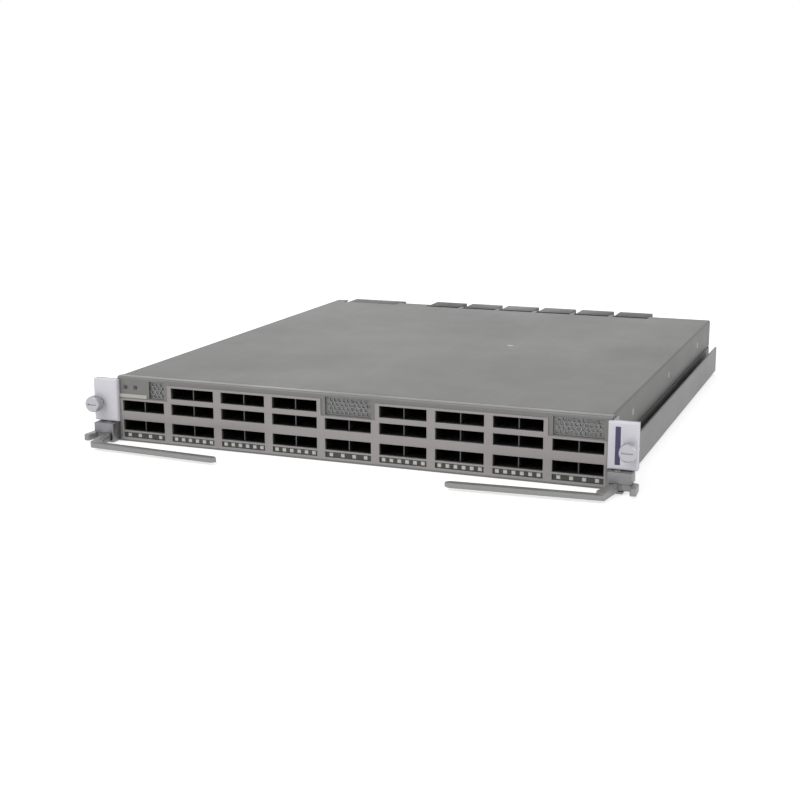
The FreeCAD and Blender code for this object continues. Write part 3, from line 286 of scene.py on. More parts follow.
class FinishShop:
    """Turns each finish into a material, once."""

    def __init__(self, effects: EffectGroups) -> None:
        """Remember the shared groups.

        Args:
            effects: the shared node groups.
        """
        self.effects = effects
        self.made: dict[str, bpy.types.Material] = {}

    def material(self, slot: str) -> bpy.types.Material:
        """The material of a slot.

        Args:
            slot: the material slot.

        Returns:
            Its material, built on the first call.
        """
        if slot not in self.made:
            self.made[slot] = self._build(FINISHES[slot])
        return self.made[slot]

    @staticmethod
    def _scaled(tree: Tree, source: Signal, factor: float, base: float = 0.0) -> Signal:
        """Multiply a signal by a factor and add a base."""
        return add_node(tree, "Math", {0: source, 1: factor, 2: base}, operation="MULTIPLY_ADD")

    @staticmethod
    def _sum(tree: Tree, first: Signal, second: Signal, clamp: bool = False) -> Signal:
        """Add two signals, and keep the result between 0 and 1 if clamp is set."""
        return add_node(tree, "Math", {0: first, 1: second}, operation="ADD", use_clamp=clamp)

    @staticmethod
    def _group(tree: Tree, group: Tree, output: str, inputs: dict) -> Signal:
        """Put a shared group into a material and return one of its outputs."""
        return add_node(tree, "Group", inputs, output, node_tree=group)

    def _build(self, finish: Finish) -> bpy.types.Material:
        """Build one material from its finish.

        Args:
            finish: the finish to build.

        Returns:
            The new material.
        """
        material = bpy.data.materials.new(finish.name)
        material.use_nodes = True
        tree = material.node_tree
        place = add_node(tree, "TexCoord", output="Object")
        colour = linear(finish.colour)
        patches = self._group(tree, self.effects.handling, "Patches", {"Vector": place, "Scale": 11.0})
        height, streaks, crystals = self._relief(tree, finish, place)

        tone = self._scaled(tree, patches, finish.tint)
        rough = self._scaled(tree, patches, finish.uneven, finish.roughness)
        if crystals is not None:
            tone = self._sum(tree, tone, self._scaled(tree, crystals, finish.tint * 0.5))
        if streaks is not None:
            tone = self._sum(tree, tone, self._scaled(tree, streaks, finish.tint * 0.8))
            rough = self._sum(tree, rough, self._scaled(tree, streaks, finish.uneven * 0.5), clamp=True)
        value = self._scaled(tree, tone, 1.0, 1.0)
        shade = add_node(tree, "HueSaturation", {"Color": colour, "Value": value})

        # Edges are lightened towards white by this mask: partly rubbed wear, partly a painted highlight.
        rub_and_highlight_inputs = {"Vector": place, "Width": 0.5 * MM, "Broken": 0.6}
        rubbed_highlight_colour = tuple(min(1.0, part + (1.0 - part) * EDGE_RUB_AND_HIGHLIGHT) for part in colour[:3]) + (1.0,)
        rubbed_and_highlit = {0: self._group(tree, self.effects.rubbed_edge_highlight, "Mask", rub_and_highlight_inputs), 6: shade, 7: rubbed_highlight_colour}
        rounded = add_node(tree, "Bevel", {"Radius": SOFT_EDGE}, samples=4)
        bump = {"Distance": finish.relief * MM, "Height": height, "Normal": rounded}
        feed(tree, tree.nodes["Principled BSDF"], {
            "Base Color": add_node(tree, "Mix", rubbed_and_highlit, 2, data_type="RGBA"),
            "Metallic": finish.metallic,
            "Roughness": rough,
            "Coat Weight": finish.coat,
            "Coat Roughness": 0.2,
            "Normal": add_node(tree, "Bump", bump),
        })
        return material

    def _relief(self, tree: Tree, finish: Finish, place: Signal) -> tuple:
        """The grain of a finish.

        Args:
            tree: the material's nodes.
            finish: the finish.
            place: the coordinates.

        Returns:
            The height, and the streaks and crystals where the grain has them.
        """
        if finish.grain is Grain.LAMINATE:
            tracks = {
                "Vector": place, "Scale": 260.0, "Mortar Size": 0.09, "Brick Width": 3.2, "Row Height": 0.32,
            }
            copper = add_node(tree, "TexBrick", tracks, "Fac")
            return copper, copper, None
        if finish.grain in (Grain.ROLLED, Grain.TURNED):
            rolled = finish.grain is Grain.ROLLED
            sheet = tree.nodes.new("ShaderNodeGroup")
            sheet.node_tree = self.effects.sheet_streaks
            feed(tree, sheet, {
                "Vector": place, "Along": 14.0 if rolled else 1600.0, "Across": 900.0 if rolled else 60.0,
            })
            streaks = sheet.outputs["Streaks"]
            return streaks, streaks, sheet.outputs["Crystals"] if rolled else None
        scale = 1500.0 if finish.grain is Grain.CAST else 2600.0
        fine = {"Vector": place, "Scale": scale}
        return self._group(tree, self.effects.fine_texture, "Height", fine), None, None


FINISHES = {
    "tray_steel": Finish("Plated tray steel", (138, 140, 144), Grain.ROLLED, 0.75, 0.46, tint=0.06),
    "cover_steel": Finish("Plated cover steel", (104, 103, 102), Grain.ROLLED, 0.35, uneven=0.05, tint=0.02),
    "panel_steel": Finish("Satin panel steel", (128, 127, 126), Grain.ROLLED, 0.5, 0.45, tint=0.03),
    "bezel_metal": Finish("Satin bezel metal", (160, 156, 155), Grain.CAST, 0.35, 0.42, tint=0.03,
                          relief=0.006),
    "label_plastic": Finish("Bare label plastic", (204, 202, 190), Grain.MOULDED, 0.0, 0.4, tint=0.02,
                            relief=0.004),
    "grille_steel": Finish("Perforated vent steel", (134, 133, 130), Grain.ROLLED, 0.5),
    "cage_steel": Finish("Nickelled cage steel", (84, 84, 85), Grain.ROLLED, 0.85, 0.38),
    "black_plastic": Finish("Black connector plastic", (16, 16, 17), Grain.MOULDED, 0.0, 0.55),
    "dark_plastic": Finish("Dark holder plastic", (74, 74, 72), Grain.MOULDED),
    "clear_plastic": Finish("Light pipe plastic", (214, 216, 212), Grain.MOULDED, 0.0, 0.18, relief=0.002,
                            coat=0.4),
    "board_laminate": Finish("Green board laminate", (18, 62, 38), Grain.LAMINATE, 0.0, 0.35, relief=0.03,
                             coat=0.5),
    "brass_plated": Finish("Plated spacer brass", (176, 168, 138), Grain.TURNED, 0.9, 0.35),
    "screw_steel": Finish("Zinc screw steel", (150, 150, 147), Grain.TURNED, 0.85, 0.36),
    "chip_package": Finish("Chip package", (34, 34, 36), Grain.MOULDED, 0.0, 0.45),
    "sink_aluminium": Finish("Anodised sink aluminium", (186, 189, 192), Grain.CAST, 0.85, 0.4),
    "converter_case": Finish("Converter case", (30, 30, 32), Grain.MOULDED),
    "connector_plastic": Finish("Glass-filled connector plastic", (44, 44, 46), Grain.MOULDED, relief=0.02),
    "guide_metal": Finish("Die-cast guide metal", (148, 148, 146), Grain.CAST, 0.8, 0.45, relief=0.03),
    "rail_steel": Finish("Plated rail steel", (124, 124, 125), Grain.ROLLED, 0.45, 0.48, uneven=0.06),
    "bracket_steel": Finish("Plated bracket steel", (142, 142, 145), Grain.ROLLED, 0.7, 0.42),
    "ear_plastic": Finish("Pale ear plastic", (240, 239, 246), Grain.MOULDED, 0.0, 0.42, tint=0.015),
    "violet_plastic": Finish("Violet marker plastic", (76, 70, 108), Grain.MOULDED, 0.0, 0.4, tint=0.03),
    "lever_metal": Finish("Satin lever metal", (150, 150, 149), Grain.CAST, 0.6, 0.42, relief=0.012),
    "ferrule_steel": Finish("Turned ferrule steel", (158, 158, 156), Grain.TURNED, 0.85, 0.35),
    "knob_metal": Finish("Nickelled knob metal", (180, 180, 185), Grain.TURNED, 0.85, 0.28),
}


# ---------------------------------------------------------------- studio


@dataclass
class Studio:
    """Floor, lamps and camera, none of which belong to the card.

    Attributes:
        floor_size: side of the floor, in metres.
        floor_gap: how far the floor lies under the card.
        floor_glow: light that the floor gives off where it is seen.
        sensor: width of the camera's sensor, in millimetres.
        aim: height that the lamps look at, in metres.
        camera_place: where the camera stands in millimetres, its depth counted from the port face.
        azimuth: compass angle that it looks along, in degrees.
        elevation: how far it looks down, in degrees.
        roll: its turn about its own line of sight, in degrees.
        lens: focal length, in millimetres.
    """

    floor_size: float = 12.0
    floor_gap: float = 0.0002
    floor_glow: float = 0.62
    sensor: float = 36.0
    aim: float = 0.03
    camera_place: tuple[float, float, float] = (398.158, -919.083, 273.987)
    azimuth: float = 21.188
    elevation: float = 12.675
    roll: float = -0.131
    lens: float = 61.787

    def build(self) -> None:
        """Set up the whole studio: a key lamp above the port face, a fill and a low one behind."""
        self._floor()
        self._world()
        self._lamp("key_lamp", (-0.7, -1.9, 1.7), 17.0, 1.6)
        self._lamp("fill_lamp", (2.1, -0.5, 1.1), 7.0, 1.5)
        self._lamp("rear_lamp", (-0.8, 2.0, 1.3), 6.0, 1.6)
        self._camera()
        bpy.context.scene.view_settings.view_transform = "Standard"

    def _floor(self) -> None:
        """Pale floor that keeps the card's shadow."""
        bpy.ops.object.select_all(action="DESELECT")
        place = (0.0, 0.0, CAD_LOW.z - self.floor_gap)
        bpy.ops.mesh.primitive_plane_add(size=self.floor_size, location=place)
        floor = bpy.context.object
        floor.name = "studio_floor"
        bpy.ops.object.transform_apply(location=True, rotation=False, scale=True)
        material = bpy.data.materials.new("Studio floor")
        material.use_nodes = True
        tree = material.node_tree
        glow = {0: self._seen_rays(tree), 1: self.floor_glow}
        feed(tree, tree.nodes["Principled BSDF"], {
            "Base Color": (0.86, 0.86, 0.86, 1.0),
            "Roughness": 0.9,
            "Specular IOR Level": 0.0,
            "Emission Color": (1.0, 1.0, 1.0, 1.0),
            "Emission Strength": add_node(tree, "Math", glow, operation="MULTIPLY"),
        })
        floor.data.materials.append(material)

    @staticmethod
    def _seen_rays(tree: Tree) -> Signal:
        """1 for rays that show the background: camera, mirror and glass rays.

        Args:
            tree: the nodes to add to.

        Returns:
            The mask's socket.
        """
        rays = tree.nodes.new("ShaderNodeLightPath").outputs
        seen = rays["Is Camera Ray"]
        for kind in ("Is Glossy Ray", "Is Transmission Ray"):
            seen = add_node(tree, "Math", {0: seen, 1: rays[kind]}, operation="MAXIMUM")
        return seen

    def _world(self) -> None:
        """Soft even light, white where it is seen."""
        world = bpy.data.worlds.new("Studio world")
        bpy.context.scene.world = world
        world.use_nodes = True
        tree = world.node_tree
        strength = {"Value": self._seen_rays(tree), "To Min": 0.45, "To Max": 1.0}
        feed(tree, tree.nodes["Background"], {
            "Color": (1.0, 1.0, 1.0, 1.0), "Strength": add_node(tree, "MapRange", strength),
        })

    def _lamp(self, name: str, place: tuple[float, float, float], power: float, size: float) -> None:
        """One square lamp that looks at the card.

        Args:
            name: name of the lamp.
            place: where it hangs, in metres.
            power: its power, in watts.
            size: its side, in metres.
        """
        data = bpy.data.lights.new(name, "AREA")
        data.energy = power
        data.size = size
        lamp = bpy.data.objects.new(name, data)
        bpy.context.scene.collection.objects.link(lamp)
        lamp.location = place
        lamp.rotation_mode = "QUATERNION"
        lamp.rotation_quaternion = (Vector((0.0, 0.0, self.aim)) - Vector(place)).to_track_quat("-Z", "Y")

    def _camera(self) -> None:
        """Camera at its measured place."""
        data = bpy.data.cameras.new("camera")
        data.lens = self.lens
        data.sensor_width = self.sensor
        data.clip_start = 0.05
        data.clip_end = 50.0
        camera = bpy.data.objects.new("camera", data)
        bpy.context.scene.collection.objects.link(camera)
        bpy.context.scene.camera = camera
        azimuth, elevation = math.radians(self.azimuth), math.radians(self.elevation)
        level = math.cos(elevation)
        forward = Vector((-math.sin(azimuth) * level, math.cos(azimuth) * level, -math.sin(elevation)))
        camera.location = Vector(self.camera_place) * MM + Vector((0.0, FACE, 0.0))
        camera.rotation_mode = "QUATERNION"
        roll = Quaternion((0.0, 0.0, 1.0), math.radians(self.roll))
        camera.rotation_quaternion = forward.to_track_quat("-Z", "Y") @ roll


# ---------------------------------------------------------------- bench


class Way(Enum):
    """Turn that lays a round piece along an axis."""

    ACROSS = (0.0, QUARTER, 0.0)
    DEEP = (QUARTER, 0.0, 0.0)
    UP = (0.0, 0.0, 0.0)


FaceTest = Callable[[Vector, Vector], bool]
Box = tuple[Vector, Vector]
Master = tuple[Piece, list[Vector]]


def faces_towards(x: float, y: float, z: float) -> FaceTest:
    """A test that picks the faces whose normal points in a direction."""
    direction = Vector((x, y, z))
    return lambda centre, normal: normal.dot(direction) > FACING


AHEAD = faces_towards(0.0, -1.0, 0.0)
BEHIND = faces_towards(0.0, 1.0, 0.0)
BELOW = faces_towards(0.0, 0.0, -1.0)
ABOVE = faces_towards(0.0, 0.0, 1.0)
ORIGIN = Vector((0.0, 0.0, 0.0))


def mm(x: float, y: float, z: float) -> Vector:
    """A place given in millimetres."""
    return Vector((x, y, z)) * MM


def spread(count: int, pitch: float) -> list[float]:
    """Evenly spaced steps, to both sides of 0."""
    return [(index - (count - 1) / 2) * pitch for index in range(count)]


def solids_of(node: str) -> list[Box]:
    """Find the separate solids of a CAD node.

    Args:
        node: name of the CAD node.

    Returns:
        The lowest and highest corner of each solid, ordered from left to right.
    """
    mesh = bmesh.new()
    mesh.from_mesh(frame["nodes"][node].data)
    bmesh.ops.remove_doubles(mesh, verts=mesh.verts, dist=WELD)
    unseen = set(mesh.verts)
    boxes = []
    while unseen:
        solid = {unseen.pop()}
        edge_of_search = list(solid)
        while edge_of_search:
            vert = edge_of_search.pop()
            fresh = {edge.other_vert(vert) for edge in vert.link_edges} & unseen
            unseen -= fresh
            solid |= fresh
            edge_of_search.extend(fresh)
        low = Vector([min(vert.co[axis] for vert in solid) for axis in range(3)])
        high = Vector([max(vert.co[axis] for vert in solid) for axis in range(3)])
        boxes.append((low, high))
    mesh.free()
    return sorted(boxes, key=lambda box: (round(box[0].x, 4), round(box[0].y, 4), round(box[0].z, 4)))


@dataclass
class Bench:
    """Modelling steps that the sub-assemblies share, each done with Blender's own tools.

    Attributes:
        shop: where the materials come from.
    """

    shop: FinishShop

    @staticmethod
    def hold(piece: Piece) -> None:
        """Make one piece the only selected and the active one.

        Args:
            piece: the piece.
        """
        bpy.ops.object.select_all(action="DESELECT")
        bpy.context.view_layer.objects.active = piece
        piece.select_set(True)

    def started(self, name: str) -> Piece:
        """Name a new primitive and move its place into its mesh.

        Args:
            name: name of the piece.

        Returns:
            The new piece.
        """
        piece = bpy.context.object
        piece.name = name
        piece.data.name = name
        self.hold(piece)
        bpy.ops.object.transform_apply(location=True, rotation=True, scale=True)
        return piece

    def block(self, name: str, low: Vector, high: Vector) -> Piece:
        """Start a piece as a block between two corners.

        Args:
            name: name of the piece.
            low: its lowest corner.
            high: its highest corner.

        Returns:
            The new piece.
        """
        bpy.ops.object.select_all(action="DESELECT")
        bpy.ops.mesh.primitive_cube_add(size=1.0, location=(low + high) / 2, scale=high - low)
        return self.started(name)

    def rod(self, name: str, centre: Vector, radius: float, length: float, way: Way = Way.UP,
            sides: int = 24) -> Piece:
        """Start a piece as a rod.

        Args:
            name: name of the piece.
            centre: its middle.
            radius: its radius.
            length: its length.
            way: the axis that it lies along.
            sides: how many sides it has.

        Returns:
            The new piece.
        """
        bpy.ops.object.select_all(action="DESELECT")
        bpy.ops.mesh.primitive_cylinder_add(vertices=sides, radius=radius, depth=length, location=centre,
                                            rotation=way.value)
        return self.started(name)

    @contextmanager
    def editing(self, piece: Piece, test: FaceTest) -> Iterator[None]:
        """Edit mode on one piece, with only the faces that pass a test selected.

        Args:
            piece: the piece.
            test: says from its middle and normal whether a face is picked.
        """
        self.hold(piece)
        bpy.ops.object.mode_set(mode="EDIT")
        bpy.ops.mesh.select_mode(type="FACE")
        bpy.ops.mesh.select_all(action="DESELECT")
        mesh = bmesh.from_edit_mesh(piece.data)
        for face in mesh.faces:
            if test(face.calc_center_median(), face.normal):
                face.select_set(True)
        bmesh.update_edit_mesh(piece.data)
        yield
        bpy.ops.object.mode_set(mode="OBJECT")

    @staticmethod
    def push(x: float = 0.0, y: float = 0.0, z: float = 0.0, taper: float = 1.0) -> None:
        """Extrude the selected faces and scale their far end.

        Args:
            x: distance across, in millimetres.
            y: distance in depth, in millimetres.
            z: distance upwards, in millimetres.
            taper: size of the far end against the near end.
        """
        bpy.ops.mesh.extrude_region_move(TRANSFORM_OT_translate={"value": (x * MM, y * MM, z * MM)})
        if taper != 1.0:
            bpy.ops.transform.resize(value=(taper, taper, taper))

    @staticmethod
    def inset(width: float, depth: float = 0.0) -> None:
        """Inset the selected faces by a width and raise them by a depth, both in millimetres."""
        bpy.ops.mesh.inset(thickness=width * MM, depth=depth * MM, use_even_offset=True)

    def bevelled(self, piece: Piece, width: float, segments: int = 2, angle: float = 32.0) -> None:
        """Round the sharp edges of a piece.

        Args:
            piece: the piece.
            width: width of the bevel, in millimetres.
            segments: its steps.
            angle: edges sharper than this many degrees are rounded.
        """
        edge = piece.modifiers.new("edge", "BEVEL")
        edge.width = width * MM
        edge.segments = segments
        edge.limit_method = "ANGLE"
        edge.angle_limit = math.radians(angle)
        self.apply(piece, edge)

    def cut(self, piece: Piece, tool: Piece) -> None:
        """Cut a tool's shape out of a piece, and drop the tool.

        Args:
            piece: what is cut.
            tool: the shape that is cut out.
        """
        hollow = piece.modifiers.new("cut", "BOOLEAN")
        hollow.operation = "DIFFERENCE"
        hollow.object = tool
        hollow.solver = "EXACT"
        self.apply(piece, hollow)
        bpy.data.objects.remove(tool)

    def apply(self, piece: Piece, modifier: bpy.types.Modifier) -> None:
        """Apply one modifier."""
        self.hold(piece)
        bpy.ops.object.modifier_apply(modifier=modifier.name)

    def round_off(self, node: str, width: float, slot: str | None = None) -> None:
        """Put a merged copy with rounded edges in the place of a CAD node.

        Args:
            node: name of the CAD node.
            width: width of the rounding, in millimetres.
            slot: its material slot, or None for the node's own.
        """
        source = frame["nodes"][node]
        piece = bpy.data.objects.new(f"{node}_rounded", source.data.copy())
        piece.data.transform(source.matrix_world)
        bpy.context.scene.collection.objects.link(piece)
        with self.editing(piece, lambda centre, normal: True):
            bpy.ops.mesh.remove_doubles(threshold=WELD)
            bpy.ops.mesh.dissolve_limited(angle_limit=math.radians(1.0))
        self.bevelled(piece, width)
        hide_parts(node)
        record = frame["record"]
        own = next(part["material_slot"] for part in record["subparts"] if part["node"] == node)
        body = next(name for name, nodes in record["behaviour"]["bodies"].items() if node in nodes)
        self.dress(piece, slot or own, body, 40.0)

    @staticmethod
    def copied(piece: Piece, name: str, move: Matrix) -> Piece:
        """A copy with its own mesh, moved.

        Args:
            piece: what is copied.
            name: name of the copy.
            move: how the copy's mesh is moved.

        Returns:
            The copy.
        """
        twin = piece.copy()
        twin.data = piece.data.copy()
        twin.name = name
        twin.data.transform(move)
        bpy.context.scene.collection.objects.link(twin)
        return twin

    def joined(self, name: str, pieces: list[Piece]) -> Piece:
        """Join pieces into one.

        Args:
            name: name of the result.
            pieces: the pieces, which are used up.

        Returns:
            The joined piece.
        """
        self.hold(pieces[0])
        for piece in pieces:
            piece.select_set(True)
        if len(pieces) > 1:
            bpy.ops.object.join()
        pieces[0].name = name
        pieces[0].data.name = name
        return pieces[0]

    def scattered(self, name: str, *masters: Master) -> Piece:
        """Copies of each master at its places, joined into one piece.

        Args:
            name: name of the result.
            masters: each master, modelled at the origin, and the places of its copies.

        Returns:
            The joined piece.
        """
        copies = []
        for master, places in masters:
            copies += [self.copied(master, name, Matrix.Translation(place)) for place in places]
        for master, _ in masters:
            bpy.data.objects.remove(master)
        return self.joined(name, copies)

    def strewn(self, name: str, slot: str, *masters: Master, smooth: float = 35.0) -> None:
        """Scatter masters over their places and dress the result.

        Args:
            name: name of the result.
            slot: its material slot.
            masters: what scattered takes.
            smooth: what dress takes.
        """
        self.dress(self.scattered(name, *masters), slot, smooth=smooth)

    def paired(self, name: str, slot: str, master: Piece, places: list[Vector],
               rise: float) -> None:
        """Put a piece above every place and its turned twin below.

        Args:
            name: name of the result.
            slot: its material slot.
            master: the upper piece, modelled at the origin.
            places: the places.
            rise: how far above and below.
        """
        twin = self.copied(master, master.name, Matrix.Rotation(math.pi, 4, "Y"))
        lift = Vector((0.0, 0.0, rise))
        self.strewn(name, slot, (master, [place + lift for place in places]),
                    (twin, [place - lift for place in places]))

    def dress(self, piece: Piece, slot: str, body: str = "chassis", smooth: float = 35.0) -> None:
        """Give a piece its finish, its slot and its body, and report it.

        Args:
            piece: the finished mesh.
            slot: the material slot.
            body: the CAD body that it rides on.
            smooth: edges duller than this many degrees are shaded smooth.
        """
        self.hold(piece)
        bpy.ops.object.shade_smooth_by_angle(angle=math.radians(smooth))
        piece.data.materials.clear()
        piece.data.materials.append(self.shop.material(slot))
        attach(piece, body)
        log.info("%s: %d faces on %s", piece.name, len(piece.data.polygons), body)


# ---------------------------------------------------------------- ports and indicators


@dataclass
class PortFittings(Bench):
    """Spring fingers, contacts and indicator lenses of the port face, and wire screens behind the vents.

    Attributes:
        wall: thickness of the cage sheet.
        divider: wall between two ports.
        inner: inner height of a cage bay.
        fingers: spring fingers along one side of a port.
        finger_pitch: from one finger to the next.
        finger_start: how far behind the panel's face they begin.
        contacts: contacts in one row of a port's connector.
        contact_pitch: from one contact to the next.
        slot_half: half the height of the connector's card slot.
        lens: half the width of an indicator lens, in millimetres.
        screen_wire: radius of a wire of the vent screens.
        screen_pitch: from one wire to the next.
        screen_step: from the grille to the level wires' middle, counted in wire radii.
    """

    wall: float = 0.6 * MM
    divider: float = 0.8 * MM
    inner: float = 9.4 * MM
    fingers: int = 6
    finger_pitch: float = 2.9 * MM
    finger_start: float = 2.3 * MM
    contacts: int = 8
    contact_pitch: float = 1.6 * MM
    slot_half: float = 1.1 * MM
    lens: float = 1.42
    screen_wire: float = 0.3 * MM
    screen_pitch: float = 0.95 * MM
    screen_step: float = 2.8

    def build(self) -> None:
        """Make the fittings of every column."""
        for column in range(COLUMNS):
            ports = self._ports(column)
            self._spring_fingers(column, ports)
            self._host_contacts(column, ports)
        self._lenses()
        self._screens()
        self.round_off("status_lights", 0.2, "dark_plastic")
        self.round_off("label_plate", 0.15)
        self.round_off("port_bezel", 0.18)

    def _ports(self, column: int) -> list[Vector]:
        """Centres of a column's port mouths.

        Args:
            column: the column, from 0.

        Returns:
            One point on the panel's face for each port.
        """
        low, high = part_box(f"lower_cage_{column + 1}")
        half = self.wall + self.inner / 2
        rows = [low.z + half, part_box("upper_cage_1")[1].z - half]
        if column in THREE_ROW_COLUMNS:
            rows.append(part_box(f"upper_cage_{column + 1}")[1].z - half)
        middle = (low.x + high.x) / 2
        aside = (high.x - low.x - 2 * self.wall + self.divider) / 4
        return [Vector((middle + side * aside, FACE, row)) for row in rows for side in SIDES.values()]

    def _spring_fingers(self, column: int, ports: list[Vector]) -> None:
        """Bent fingers along the top and the bottom of a column's ports, just behind the panel.

        Args:
            column: the column, from 0.
            ports: centres of its port mouths.
        """
        finger = self.block("finger", mm(-0.75, 0.0, -0.12), mm(0.75, 1.4, 0.0))
        with self.editing(finger, BEHIND):
            self.push(y=1.9, z=-0.3, taper=0.9)
            self.push(y=1.2)
            self.push(y=2.0, z=0.28, taper=0.9)
        steps = spread(self.fingers, self.finger_pitch)
        places = [port + Vector((step, self.finger_start, 0.0)) for port in ports for step in steps]
        self.paired(f"port_fingers_{column + 1}", "cage_steel", finger, places, self.inner / 2)

    def _host_contacts(self, column: int, ports: list[Vector]) -> None:
        """Two rows of plated contacts in the card slot at the back of a column's ports.

        Args:
            column: the column, from 0.
            ports: centres of its port mouths.
        """
        contact = self.block("contact", mm(-0.26, 0.9, -0.1), mm(0.26, 6.2, 0.02))
        with self.editing(contact, AHEAD):
            self.push(y=-0.35, z=-0.22)
            self.push(y=-0.35, z=0.16, taper=0.8)
        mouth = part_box("host_connectors")[0].y
        steps = spread(self.contacts, self.contact_pitch)
        places = [Vector((port.x + step, mouth, port.z)) for port in ports for step in steps]
        self.paired(f"port_contacts_{column + 1}", "brass_plated", contact, places, self.slot_half)

    def _lenses(self) -> None:
        """Domed lens on the end of every light pipe."""
        low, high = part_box("light_pipes")
        height = (low.z + high.z) / 2
        lens = self.block("lens", mm(-self.lens, -0.05, -self.lens), mm(self.lens, 0.3, self.lens))
        with self.editing(lens, AHEAD):
            self.inset(0.3, 0.12)
            self.inset(0.45, 0.06)
        self.bevelled(lens, 0.08)
        places = []
        for column in range(COLUMNS):
            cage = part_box(f"lower_cage_{column + 1}")
            cell = cage[1].x - cage[0].x - 2 * self.wall
            count = 6 if column in THREE_ROW_COLUMNS else 4
            middle = (cage[0].x + cage[1].x) / 2
            places += [Vector((middle + step, low.y, height)) for step in spread(count, cell / count)]
        self.strewn("indicator_lenses", "clear_plastic", (lens, places), smooth=50.0)

    def _screens(self) -> None:
        """Wire screen behind every honeycomb vent."""
        wire, pitch = self.screen_wire, self.screen_pitch
        for index, (low, high) in enumerate(solids_of("vent_grilles"), start=1):
            size = high - low
            middle = (low + high) / 2
            upright = self.rod("wire", ORIGIN, wire, size.z, sides=8)
            level = self.rod("wire", ORIGIN, wire, size.x, Way.ACROSS, 8)
            uprights = [
                Vector((middle.x + step, high.y + wire, middle.z))
                for step in spread(int(size.x / pitch), pitch)
            ]
            levels = [
                Vector((middle.x, high.y + self.screen_step * wire, middle.z + step))
                for step in spread(int(size.z / pitch), pitch)
            ]
            self.strewn(f"vent_screen_{index}", "sink_aluminium", (upright, uprights), (level, levels),
                         smooth=60.0)


# ---------------------------------------------------------------- fasteners


